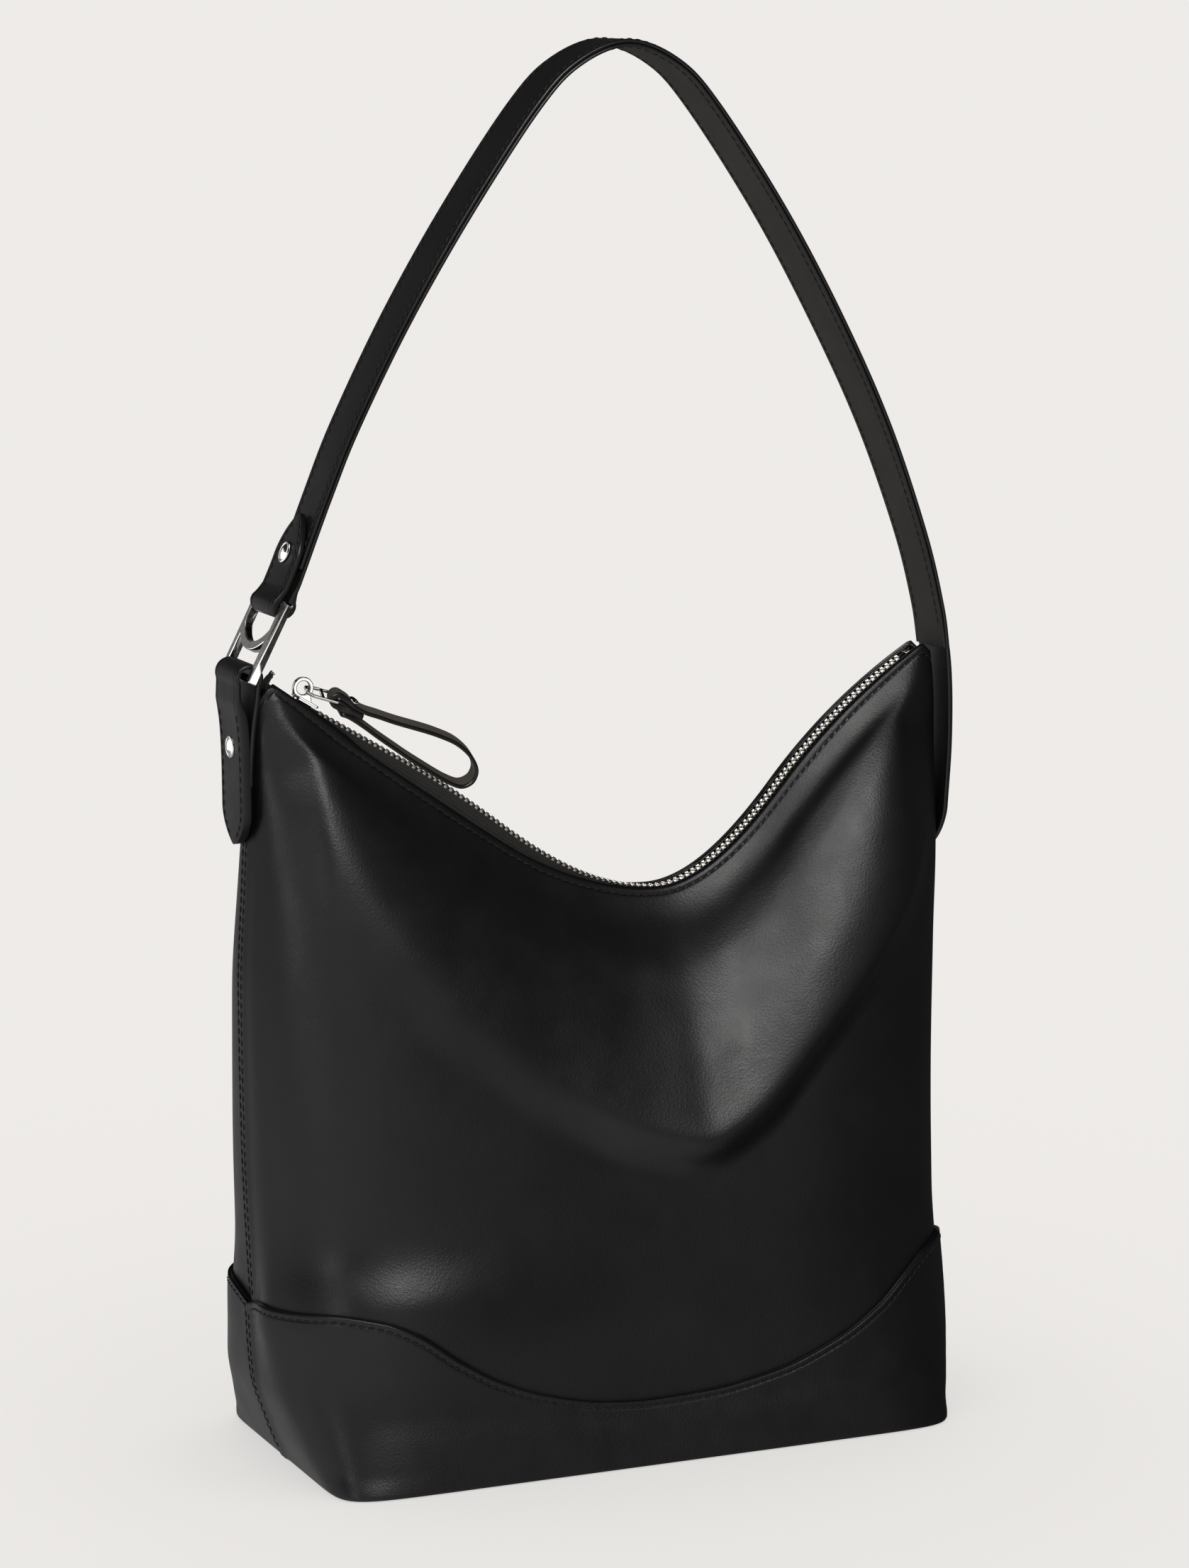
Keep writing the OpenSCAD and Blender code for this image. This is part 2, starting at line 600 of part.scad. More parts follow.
front_panel();
back_panel();
front_base_band();
back_base_band();
bottom_panel();
base_board();
lining();
front_facing();
back_facing();
front_zip_tape();
back_zip_tape();
front_zip_teeth();
back_zip_teeth();
zip_stops();
zip_tape_end();
ring_tab();
tab_rivet();
strap_anchor();
zip_slider();
pull_link();
zip_pull();
pull_rivet();
strap_outer_layer();
strap_inner_layer();
strap_rivet();
strap_ring();
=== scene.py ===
import json
import math

import bpy
import bmesh
import numpy as np
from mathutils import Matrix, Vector
from mathutils.geometry import tessellate_polygon

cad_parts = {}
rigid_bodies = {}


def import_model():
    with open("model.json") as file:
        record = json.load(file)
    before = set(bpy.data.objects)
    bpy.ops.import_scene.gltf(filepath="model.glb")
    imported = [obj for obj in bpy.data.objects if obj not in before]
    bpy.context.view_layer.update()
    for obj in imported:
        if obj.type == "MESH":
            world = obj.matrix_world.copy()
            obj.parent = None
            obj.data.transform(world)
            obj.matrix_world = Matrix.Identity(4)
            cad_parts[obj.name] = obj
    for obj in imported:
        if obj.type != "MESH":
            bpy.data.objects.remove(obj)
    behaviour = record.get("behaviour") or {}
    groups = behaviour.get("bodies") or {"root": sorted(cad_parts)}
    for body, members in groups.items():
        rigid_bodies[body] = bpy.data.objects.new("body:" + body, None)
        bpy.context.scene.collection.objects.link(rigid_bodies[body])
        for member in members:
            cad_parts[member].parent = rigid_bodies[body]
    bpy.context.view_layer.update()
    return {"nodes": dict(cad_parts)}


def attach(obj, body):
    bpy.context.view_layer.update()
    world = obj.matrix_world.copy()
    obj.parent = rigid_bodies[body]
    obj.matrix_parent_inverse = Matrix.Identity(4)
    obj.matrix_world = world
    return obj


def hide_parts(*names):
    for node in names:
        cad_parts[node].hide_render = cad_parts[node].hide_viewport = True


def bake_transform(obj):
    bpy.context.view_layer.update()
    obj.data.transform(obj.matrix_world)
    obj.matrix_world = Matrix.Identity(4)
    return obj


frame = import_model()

# Sizes here are millimetres until build() turns them into metres. Names and routes follow part.scad.
MM = 0.001
FULL_TURN = 2 * math.pi


# ---------------------------------------------------------------- curves
def mix(a, b, f):
    return a + (b - a) * f


def smooth(f):
    c = np.clip(f, 0.0, 1.0)
    return c * c * (3 - 2 * c)


def ramp(low, high, value):
    return smooth((value - low) / (high - low))


def bump(value, centre, width):
    return np.exp(-(((value - centre) / width) ** 2))


def hermite(x0, z0, s0, x1, z1, s1, x):
    w = x1 - x0
    f = (x - x0) / w
    g = 1 - f
    return z0 * (1 + 2 * f) * g * g + z1 * f * f * (3 - 2 * f) + w * f * g * (s0 * g - s1 * f)


def table(points, x):
    """A smooth curve through a table of [place, value] that never overshoots between its points."""
    xs, ys = np.array(points, float).T
    h = np.diff(xs)
    d = np.diff(ys) / h
    m = join([d[0]], np.zeros(len(d) - 1), [d[-1]])
    for i in range(1, len(d)):
        if d[i - 1] * d[i] > 0:
            w1, w2 = 2 * h[i] + h[i - 1], h[i] + 2 * h[i - 1]
            m[i] = (w1 + w2) / (w1 / d[i - 1] + w2 / d[i])
    x = np.asarray(x, float)
    k = np.clip(np.searchsorted(xs, x, side="right") - 1, 0, len(h) - 1)
    return hermite(xs[k], ys[k], m[k], xs[k + 1], ys[k + 1], m[k + 1], np.clip(x, xs[0], xs[-1]))


def spline(points, steps):
    """A smooth curve through given points, cut into steps per span."""
    p = np.array(points, float)
    out = []
    for i in range(len(p) - 1):
        a, b, c, d = p[max(i - 1, 0)], p[i], p[i + 1], p[min(i + 2, len(p) - 1)]
        for f in np.arange(steps) / steps:
            out.append(0.5 * (2 * b + (c - a) * f + (2 * a - 5 * b + 4 * c - d) * f**2
                              + (3 * b - a - 3 * c + d) * f**3))
    out.append(p[-1])
    return np.array(out)


def circle(steps):
    """Angles evenly round a full circle."""
    return np.arange(steps) / steps * FULL_TURN


def arc(centre, r, start, end, steps):
    a = np.radians(np.linspace(start, end, steps + 1))
    return np.array(centre) + r * columns(np.cos(a), np.sin(a))


def lengths_along(points):
    return join([0], np.cumsum(np.linalg.norm(np.diff(points, axis=0), axis=1)))


def between(at, s, rows):
    """Rows of values, known at the lengths s, read off at other lengths."""
    return np.stack([np.interp(at, s, column) for column in rows.T], axis=-1)


def columns(*parts):
    return np.stack(np.broadcast_arrays(*parts), axis=-1)


def join(*parts):
    return np.concatenate(parts)


def unit(v):
    return v / np.maximum(np.linalg.norm(v, axis=-1, keepdims=True), 1e-12)


# ---------------------------------------------------------------- the body's form
BASE_LENGTH, BASE_DEPTH = 290, 152
MOUTH_HALF_GAP = 6.5
LEATHER = 1.8
BAND_GAP = 0.5
BAND_COVER = BAND_GAP + LEATHER
BAND_OVERLAP = 9
# The base bands' top edge: degrees from the middle of the front or back, left side first, and height
BAND_LINE = [
    [-90, 71], [-68, 76], [-49, 76], [-41, 73], [-36, 67], [-29, 52], [-24, 42.5], [-17, 34], [-8, 28.3],
    [0, 26.8], [10, 27.6], [21, 32.5], [30, 42.4], [37, 54.3], [43, 66], [49, 73.5], [60, 77], [90, 71],
]
MOUTH_LEFT, MOUTH_BEND, MOUTH_DIP, MOUTH_RISE, MOUTH_RIGHT = -148, -42, 28, 88, 157
MOUTH_END_HEIGHT, MOUTH_DIP_HEIGHT, MOUTH_RISE_HEIGHT = 338, 238, 279
MOUTH_SLOPE, MOUTH_RISE_SLOPE, MOUTH_RIGHT_SLOPE = -0.7, 1.2, 0.62
HALF_BASE = BASE_LENGTH / 2 - BAND_COVER
HALF_DEPTH = BASE_DEPTH / 2 - BAND_COVER

# Tables by v, the share of the mouth's height: how far the sides stand out past the base, half the
# depth, and how square the outline is
LEFT_SIDE = [
    [0, 0], [0.06, 7.5], [0.12, 13.5], [0.22, 15.5], [0.45, 18.5], [0.62, 19], [0.75, 17],
    [0.86, 15], [0.94, 13.5], [1, 11],
]
RIGHT_SIDE = [
    [0, 0], [0.06, 7.5], [0.12, 12.5], [0.22, 15], [0.45, 16], [0.62, 18], [0.8, 21],
    [0.9, 21], [1, 19],
]
DEPTH = [
    [0, HALF_DEPTH], [0.06, HALF_DEPTH - 4.5], [0.12, HALF_DEPTH - 9], [0.3, HALF_DEPTH - 13],
    [0.5, HALF_DEPTH - 20], [0.7, HALF_DEPTH - 30], [0.85, HALF_DEPTH - 46],
    [0.95, MOUTH_HALF_GAP + 6], [1, MOUTH_HALF_GAP],
]
SQUARENESS = [[0, 14], [0.03, 8.5], [0.12, 5], [0.3, 3.2], [0.75, 3], [0.9, 3.4], [1, 10]]


def mouth_height(x):
    x = np.asarray(x, float)
    bend_height = MOUTH_END_HEIGHT + MOUTH_SLOPE * (MOUTH_BEND - MOUTH_LEFT)
    dip, rise = (MOUTH_DIP, MOUTH_DIP_HEIGHT, 0), (MOUTH_RISE, MOUTH_RISE_HEIGHT, MOUTH_RISE_SLOPE)
    return np.select(
        [x < MOUTH_LEFT, x < MOUTH_BEND, x < MOUTH_DIP, x < MOUTH_RISE, x <= MOUTH_RIGHT],
        [
            MOUTH_END_HEIGHT + (x - MOUTH_LEFT),
            MOUTH_END_HEIGHT + MOUTH_SLOPE * (x - MOUTH_LEFT),
            hermite(MOUTH_BEND, bend_height, MOUTH_SLOPE, *dip, x),
            hermite(*dip, *rise, x),
            hermite(*rise, MOUTH_RIGHT, MOUTH_END_HEIGHT, MOUTH_RIGHT_SLOPE, x),
        ],
        MOUTH_END_HEIGHT - (x - MOUTH_RIGHT),
    )


def section_reach(v, a):
    n = table(SQUARENESS, v)
    c, s = np.cos(a), np.sin(a)
    return (abs(c) ** n + abs(s) ** n) ** (-1 / n), c, s


def mouth_x(a):
    """Where on the mouth the body's column at angle a ends. Angles are radians."""
    r, c, _ = section_reach(np.ones_like(a), a)
    left, right = -HALF_BASE - LEFT_SIDE[-1][1], HALF_BASE + RIGHT_SIDE[-1][1]
    return (left + right) / 2 + (right - left) / 2 * r * c


def bare(v, a):
    """The body's outer face before any folds. a = pi is the left seam and a = 3 pi / 2 the front."""
    v = np.clip(v, 0, 1)
    r, c, s = section_reach(v, a)
    left, right = -HALF_BASE - table(LEFT_SIDE, v), HALF_BASE + table(RIGHT_SIDE, v)
    return columns(
        (left + right) / 2 + (right - left) / 2 * r * c,
        table(DEPTH, v) * r * s,
        v * mouth_height(mouth_x(a))
    )


def crease(x, z, start, end, widths, height, fade):
    """A soft ridge (height > 0) or hollow (height < 0) from start to end, with a width on either side.

    Seen along it from start to end, the first width is on its left-hand side."""
    d = np.array(end, float) - start
    length = np.linalg.norm(d)
    d = d / length
    along = ((x - start[0]) * d[0] + (z - start[1]) * d[1]) / length
    across = (x - start[0]) * -d[1] + (z - start[1]) * d[0]
    width = np.where(across > 0, *widths)
    return height * bump(across, 0, width) * smooth(along / fade) * smooth((1 - along) / fade)


# The front's main fold hangs from one end of the mouth to the other
DRAPE_LINE = np.array([
    # x and z of the crest, height, width above, width below, share of the height kept above
    (-150, 318, 0.0, 30, 22, 0.40),
    (-132, 282, 1.2, 34, 22, 0.40),
    (-107, 236, 2.2, 40, 22, 0.40),
    (-81, 201, 2.8, 44, 22, 0.40),
    (-40, 166, 3.8, 48, 20, 0.40),
    (0, 142, 8.0, 52, 17, 0.25),
    (32, 132, 11.5, 54, 14, 0.25),
    (58, 147, 11.5, 54, 13, 0.30),
    (84, 175, 10.2, 54, 13, 0.42),
    (112, 204, 8.8, 54, 13, 0.48),
    (134, 233, 7.2, 50, 14, 0.50),
    (148, 263, 4.5, 42, 15, 0.50),
    (161, 297, 0.0, 34, 16, 0.50),
], float)
DRAPE_X = np.linspace(DRAPE_LINE[0, 0], DRAPE_LINE[-1, 0], 400)
SOFTEN_REACH = 23
SOFTEN = np.hanning(2 * SOFTEN_REACH + 1) / np.hanning(2 * SOFTEN_REACH + 1).sum()
DRAPE = [
    np.convolve(np.pad(column, SOFTEN_REACH, mode="reflect", reflect_type="odd"), SOFTEN, mode="valid")
    for column in between(DRAPE_X, DRAPE_LINE[:, 0], DRAPE_LINE[:, 1:]).T
]
DRAPE_SLOPE = np.gradient(DRAPE[0], DRAPE_X)
CREST_ROUNDING, SWELL_RATE = 5, 2.3


def drape(x, z):
    """The height of the main fold, which swells gently down to its crest and then drops away."""
    crest, height, above, below, kept = (np.interp(x, DRAPE_X, row) for row in DRAPE)
    d = (z - crest) / np.sqrt(1 + np.interp(x, DRAPE_X, DRAPE_SLOPE) ** 2)
    reach = np.hypot(np.maximum(d, 0), CREST_ROUNDING) - CREST_ROUNDING
    swell = 1 - np.exp(-SWELL_RATE * reach / above)
    return height * np.where(d > 0, 1 - (1 - kept) * swell, 1 - smooth(-d / below))


# x, z, width, height, outwards
FRONT_BULGES = [(-112, 73, 56, 22, 8.6), (-128, 150, 24, 60, 1.5), (120, 120, 34, 50, -1.0)]
BACK_BULGES = [(5, 208, 60, 26, -3.5), (-118, 74, 34, 20, 4.0), (110, 80, 34, 22, 3.0)]
# start, end, widths on either side, height, fade
BACK_FOLDS = [
    ((-125, 300), (-30, 120), (20, 14), 5.0, 0.35),
    ((125, 300), (30, 130), (14, 20), 4.5, 0.35),
    ((30, 230), (-10, 140), (26, 26), -3.0, 0.4),
]


# Nothing moves near the mouth, the foot or the side seams: from where it starts to where it is free
FREE_OF_MOUTH, FREE_OF_FOOT, FREE_OF_SEAM = (2, 25), (12, 70), (4, 30)


def fold_height(p, side):
    """How far the folds move the leather outwards. side is -1 on the front and 1 on the back."""
    x, z = p[..., 0], p[..., 2]
    total = drape(x, z) if side < 0 else sum(crease(x, z, *f) for f in BACK_FOLDS)
    for cx, cz, w, t, h in FRONT_BULGES if side < 0 else BACK_BULGES:
        total = total + h * bump(x, cx, w) * bump(z, cz, t)
    hold = ramp(*FREE_OF_MOUTH, mouth_height(x) - z) * ramp(*FREE_OF_FOOT, z)
    return total * hold * ramp(*FREE_OF_SEAM, abs(p[..., 1]))


STEP_V, STEP_A = 0.003, 0.006
FOOT_UPRIGHT = (2, 20)


def normals(surface, v, a):
    dv = surface(np.clip(v + STEP_V, 0, 1), a) - surface(np.clip(v - STEP_V, 0, 1), a)
    da = surface(v, a + STEP_A) - surface(v, a - STEP_A)
    n = unit(np.cross(da, dv))
    # Near the foot the face grows straight outwards, so that nothing goes below the floor
    n[..., 2] *= ramp(*FOOT_UPRIGHT, surface(v, a)[..., 2])
    return unit(n)


def skin(side, v, a, grow):
    """Points on the folded body, moved out by grow, and the face's normals there."""
    def surface(v, a):
        p = bare(v, a)
        return p + fold_height(p, side)[..., None] * normals(bare, v, a)
    n = normals(surface, v, a)
    return surface(v, a) + np.broadcast_to(grow, v.shape)[..., None] * n, n


# Columns: close together beside the side seams, then evenly spaced round the body
SEAM_COLUMNS = np.array([0, 0.2, 0.5, 0.9, 1.4, 1.8, 2.2, 2.6, 3.1, 3.8, 4.8])
QUARTER_COLUMNS = 84
COLUMN_COUNT = 2 * (len(SEAM_COLUMNS) + QUARTER_COLUMNS) - 1
MEAN_HALF_LENGTH, MEAN_HALF_DEPTH, MEAN_SQUARENESS = 157, 60, 4.2


def quarter_fractions():
    a = np.linspace(0, math.pi / 2, 2000)
    n = MEAN_SQUARENESS
    r = (np.cos(a) ** n + np.sin(a) ** n) ** (-1 / n)
    s = lengths_along(columns(MEAN_HALF_LENGTH * r * np.cos(a), MEAN_HALF_DEPTH * r * np.sin(a)))
    return np.interp(np.linspace(0, s[-1], QUARTER_COLUMNS + 1)[1:], s, a) / (math.pi / 2)


COLUMN = np.arange(COLUMN_COUNT)
FROM_SEAM = np.minimum(COLUMN, COLUMN_COUNT - 1 - COLUMN)
IS_NEAR = FROM_SEAM < len(SEAM_COLUMNS)
NEAR_DISTANCE = SEAM_COLUMNS[np.where(IS_NEAR, FROM_SEAM, len(SEAM_COLUMNS) - 1)]
FAR_FRACTION = np.where(
    IS_NEAR, 0, quarter_fractions()[np.clip(FROM_SEAM - len(SEAM_COLUMNS), 0, None)])
LEFT_HALF = COLUMN <= (COLUMN_COUNT - 1) // 2


def seam_angle(side, left, q):
    """The angle of a column that stands q round from the left or the right seam."""
    return np.where(left, math.pi - side * q, (FULL_TURN if side < 0 else 0) + side * q)


def column_angles(side, v):
    """The angle of each column, last axis, at height v. Columns run from the left seam to the right."""
    q = np.arctan(NEAR_DISTANCE / table(DEPTH, v))
    return seam_angle(side, LEFT_HALF, q + (math.pi / 2 - q) * FAR_FRACTION)


def band_top(a):
    return table(BAND_LINE, abs(np.degrees(a) - 180) - 90)


def mouth_top(a):
    return mouth_height(mouth_x(a))


SAG_DEPTH, SAG_START, SAG_END = 2.6, (-128, -104), (-62, 8)


def lip_sag(x):
    """How far the soft front lip hangs below the mouth's own line, beside the zip's left run."""
    return SAG_DEPTH * ramp(*SAG_START, x) * (1 - ramp(*SAG_END, x))


def front_lip_top(a):
    return mouth_top(a) - lip_sag(mouth_x(a))


LIP_TOP = {-1: front_lip_top, 1: mouth_top}


STEEPEST = 1.3


def drop_below(side, top_height, drop):
    """v of the line that runs a given distance below an edge, square across to it."""
    v = np.full(COLUMN_COUNT, 0.5)
    for _ in range(5):
        a = column_angles(side, v)
        v = top_height(a) / mouth_top(a)
    p = bare(v, a)
    run = np.hypot(np.gradient(p[:, 0]), np.gradient(p[:, 1]))
    slope = np.gradient(p[:, 2]) / np.maximum(run, 1e-6)
    stretch = np.sqrt(1 + np.clip(slope, -STEEPEST, STEEPEST) ** 2)
    return v - np.asarray(drop)[..., None] * stretch / mouth_top(a)


# ---------------------------------------------------------------- meshes
def grid_faces(rows, cols, closed=False, start=0, ends=False):
    """The faces of a grid of points, whose columns may close into a tube with a face on either end."""
    i, j = np.meshgrid(np.arange(rows - 1), np.arange(cols if closed else cols - 1), indexing="ij")
    k = (j + 1) % cols
    quads = columns(i * cols + j, i * cols + k, (i + 1) * cols + k, (i + 1) * cols + j)
    faces = (quads.reshape(-1, 4) + start).tolist()
    if ends:
        last = start + (rows - 1) * cols
        faces += [list(range(start, start + cols))[::-1], list(range(last, last + cols))]
    return faces


def put(name, data):
    """A new object in the scene."""
    obj = bpy.data.objects.new(name, data)
    bpy.context.scene.collection.objects.link(obj)
    return obj


def build(name, points, faces, materials, face_materials=None, uvs=None, flat=False):
    """One Blender mesh object. Points are millimetres, and uvs hold one pair per point."""
    mesh = bpy.data.meshes.new(name)
    mesh.from_pydata((np.asarray(points, float) * MM).tolist(), [], faces)
    for m in materials:
        mesh.materials.append(m)
    if face_materials is not None:
        mesh.polygons.foreach_set("material_index", np.asarray(face_materials, np.int32))
    if uvs is not None:
        layer = mesh.uv_layers.new(name="UVMap")
        loops = np.zeros(len(mesh.loops), np.int32)
        mesh.loops.foreach_get("vertex_index", loops)
        layer.data.foreach_set("uv", np.asarray(uvs, np.float32)[loops].ravel())
    mesh.polygons.foreach_set("use_smooth", np.full(len(mesh.polygons), not flat))
    mesh.update()
    return put(name, mesh)


def outward(obj):
    """Turns every face of a closed piece to face outwards."""
    bm = bmesh.new()
    bm.from_mesh(obj.data)
    bmesh.ops.recalc_face_normals(bm, faces=bm.faces)
    bm.to_mesh(obj.data)
    bm.free()
    return obj


def claim(obj, body, slot=None, nodes=(), bend=None):
    """Parents a piece to the body it rides on, or only bakes its transform into place when bend ends are
    given, and hides the CAD nodes it stands for.
    """
    if bend:
        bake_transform(obj)
    else:
        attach(obj, body)
    if nodes:
        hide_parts(*nodes)


class Parts:
    """Collects several meshes into one piece."""

    def __init__(self):
        self.points, self.faces, self.materials, self.uvs = [], [], [], []
        self.count = 0

    def add(self, points, faces, materials=None, uvs=None):
        points = np.asarray(points, float)
        self.points.append(points)
        self.faces += [[k + self.count for k in f] for f in faces]
        self.materials += [0] * len(faces) if materials is None else materials
        self.uvs.append(np.zeros((len(points), 2)) if uvs is None else uvs)
        self.count += len(points)

    def tube(self, grid, materials=None, uvs=None):
        """Adds a closed tube from rows of points, with the UVs in the same rows."""
        self.add(grid.reshape(-1, 3), grid_faces(*grid.shape[:2], closed=True, ends=True), materials,
                 None if uvs is None else uvs.reshape(-1, 2))

    def sew(self, *line, **lean):
        self.add(*stitch_row(*line, **lean))

    def build(self, name, materials, *claims, **bend):
        """Makes the piece and claims its place."""
        obj = outward(build(name, join(*self.points), self.faces, materials, self.materials,
                            join(*self.uvs)))
        claim(obj, *claims, **bend)
        return obj


def placed(points, origin, x_axis, z_axis):
    """Points from a local frame whose X and Z axes point along the given world directions."""
    z = unit(np.array(z_axis, float))
    x = np.array(x_axis, float)
    x = unit(x - (x @ z) * z)
    y = np.cross(z, x)
    return np.array(origin, float) + np.asarray(points, float) @ np.stack([x, y, z])


def lathe(profile, steps=48):
    """A closed solid of revolution. The profile's first and last points lie on the axis."""
    r, h = np.array(profile[1:-1], float).T[..., None]
    a = circle(steps)
    points = join(columns(r * np.cos(a), r * np.sin(a), h).reshape(-1, 3),
                  [[0, 0, profile[0][1]], [0, 0, profile[-1][1]]])
    faces = grid_faces(len(r), steps, closed=True)
    low, last = len(r) * steps, (len(r) - 1) * steps
    for j in range(steps):
        k = (j + 1) % steps
        faces += [[low, k, j], [low + 1, last + j, last + k]]
    return points, faces


# A corner that opens wider than this is left alone, and a rounding takes at most this share of a side
OPEN_CORNER, SIDE_SHARE = 1.55, 0.49


def rounded(points, r, steps=5):
    """An outline with its corners rounded, each by its own radius or by one radius for all."""
    p = np.array(points, float)
    n = len(p)
    radii = [r] * n if np.isscalar(r) else r
    out = []
    for i in range(n):
        a, b, c = p[i - 1], p[i], p[(i + 1) % n]
        u, w = unit(a - b), unit(c - b)
        half = math.acos(float(np.clip(u @ w, -1, 1))) / 2
        if radii[i] <= 0 or half > OPEN_CORNER:
            out.append(b)
            continue
        cut = min(radii[i] / max(math.tan(half), 1e-6),
                  SIDE_SHARE * np.linalg.norm(a - b), SIDE_SHARE * np.linalg.norm(c - b))
        start, end = b + u * cut, b + w * cut
        for f in np.linspace(0, 1, steps + 1):
            out.append((1 - f) ** 2 * start + 2 * f * (1 - f) * b + f**2 * end)
    return np.array(out)


MITRE_LIMIT = 0.6


def plate(outlines, thickness, edge, steps=4):
    """A flat plate with softly rounded edges, centred on Z = 0. The first outline is its outside."""
    angles = np.linspace(0, math.pi / 2, steps + 1)
    rows = [(edge * (1 - math.sin(t)), thickness / 2 - edge + edge * math.cos(t)) for t in angles]
    rows += [(inset, -z) for inset, z in rows[::-1]]
    points, faces, start = [], [], 0
    top, bottom = [], []
    for k, outline in enumerate(outlines):
        p = np.array(outline, float)
        area = np.sum(p[:, 0] * np.roll(p[:, 1], -1) - p[:, 1] * np.roll(p[:, 0], -1))
        if (area > 0) != (k == 0):
            p = p[::-1]
        before, after = unit(p - np.roll(p, 1, axis=0)), unit(np.roll(p, -1, axis=0) - p)
        n = unit(columns(before[:, 1] + after[:, 1], -before[:, 0] - after[:, 0]))
        across = np.sum(n * columns(after[:, 1], -after[:, 0]), axis=1)
        n = n * (1 / np.clip(across, MITRE_LIMIT, 1))[:, None]
        for inset, z in rows:
            points.append(columns(*(p - inset * n).T, z))
        faces += grid_faces(len(rows), len(p), closed=True, start=start)
        top.append(list(range(start, start + len(p))))
        start += len(rows) * len(p)
        bottom.append(list(range(start - len(p), start)))
    points = np.concatenate(points)
    for cap in (top, bottom):
        loops = [[Vector(points[k]) for k in loop] for loop in cap]
        index = [k for loop in cap for k in loop]
        faces += [[index[k] for k in tri] for tri in tessellate_polygon(loops)]
    return points, faces


# ---------------------------------------------------------------- ribbons
TIP_STEPS = np.array([0, 0.04, 0.15, 0.35, 0.65, 1.05, 1.6, 2.3, 3.2, 4.4])


class Route:
    """A path in the XZ plane, with its left-hand normal, that leather strips follow."""

    def __init__(self, points, step, fine_start=False, fine_end=False):
        points = np.array(points, float)
        s = lengths_along(points)
        self.length = s[-1]
        first, last = TIP_STEPS[-1] * fine_start, s[-1] - TIP_STEPS[-1] * fine_end
        at = np.linspace(first, last, int(round((last - first) / step)) + 1)
        if fine_start:
            at = join(TIP_STEPS[:-1], at)
        if fine_end:
            at = join(at, s[-1] - TIP_STEPS[-2::-1])
        self.p, self.s, self.count = between(at, s, points), at, len(at)
        self.t = unit(np.gradient(self.p, at, axis=0))
        self.n = columns(-self.t[:, 1], self.t[:, 0])


TIP_LENGTH, TIP_POWERS, THINNEST = 19.0, (1.7, 0.72), 0.02


def tip(distance, length=TIP_LENGTH):
    """How wide a pointed leather end is, from 0 at its tip to 1."""
    f = np.clip(distance / length, 0, 1)
    return np.maximum((1 - (1 - f) ** TIP_POWERS[0]) ** TIP_POWERS[1], THINNEST)


GROOVE_INSET = 3.0
# Distance from the groove's middle towards the edge, and share of its depth
GROOVE_PROFILE = [(1.4, 0), (0.75, 0.12), (0.4, 0.65), (0, 1), (-0.4, 0.65), (-0.75, 0.12), (-1.3, 0)]
EDGE_TURN = np.linspace(0, math.pi / 2, 6)
# Strips narrower than twice this have their grooves and stitches closer to the edge
FULL_HALF_WIDTH = 7
# An edge's rounding takes at most these shares of the half width and of the thickness
EDGE_OF_HALF, EDGE_OF_THICKNESS = 0.8, 0.48


def strip_section(half, low, high, edge, low_groove, high_groove, inset):
    """(y, n) round a leather strip: two faces with a stitch groove near each side, and round edges."""
    scale = min(1.0, half / FULL_HALF_WIDTH)
    edge = min(edge, half * EDGE_OF_HALF, (high - low) * EDGE_OF_THICKNESS)
    grooved = [max(half - (inset + e) * scale, THINNEST * half) for e, _ in GROOVE_PROFILE]
    across = [0.0, *grooved, half - edge]
    depth = [0.0] + [d * scale for _, d in GROOVE_PROFILE] + [0.0]
    y = np.array([-a for a in across[:0:-1]] + across)
    d = np.array(depth[:0:-1] + depth)
    out, back = edge * np.sin(EDGE_TURN), edge * np.cos(EDGE_TURN)
    right = join(
        columns(half - edge + out[1:], low + edge - back[1:]),
        columns(half - edge + back[:-1], high - edge + out[:-1])
    )
    return join(
        columns(y, low + low_groove * d), right,
        columns(y[::-1], high - high_groove * d[::-1]), right[::-1] * [-1, 1]
    )


def swept(path, normals, sections):
    """Sections of (y, n) points, set along a path in the XZ plane."""
    p = path[:, None] + sections[..., 1:] * normals[:, None]
    return columns(p[..., 0], sections[..., 0], p[..., 1])


# Which material each face round a section has: low face, edge, high face, edge
FACE_STEPS, EDGE_STEPS = 2 * len(GROOVE_PROFILE) + 2, 2 * len(EDGE_TURN) - 1
AROUND = np.repeat([0, 1, 2, 1], [FACE_STEPS, EDGE_STEPS, FACE_STEPS, EDGE_STEPS])


def strip(parts, route, half, low, high, edge=0.8, grooves=(0.0, 0.0), high_material=0, edge_material=1,
          inset=GROOVE_INSET):
    """Adds a leather strip. Half width and both faces' offsets hold one value per route point."""
    half, low, high = (np.broadcast_to(q, route.count) for q in (half, low, high))
    sections = np.array([strip_section(*q, edge, *grooves, inset) for q in zip(half, low, high)])
    choices = [np.broadcast_to(q, route.count) for q in (0, edge_material, high_material)]
    numbers = [int(choices[k][i]) for i in range(route.count - 1) for k in AROUND]
    parts.tube(swept(route.p, route.n, sections), numbers + [edge_material] * 2,
               columns(route.s[:, None], sections[..., 0]))


# ---------------------------------------------------------------- stitches
STITCH_PITCH, STITCH_LENGTH, STITCH_RADIUS = 4.0, 3.1, 0.36
STITCH_RINGS, STITCH_SIDES = 7, 6
STITCH_SINK, STITCH_ARCH, STITCH_DIVE, STITCH_LEAN = 0.18, 0.21, 0.34, 9


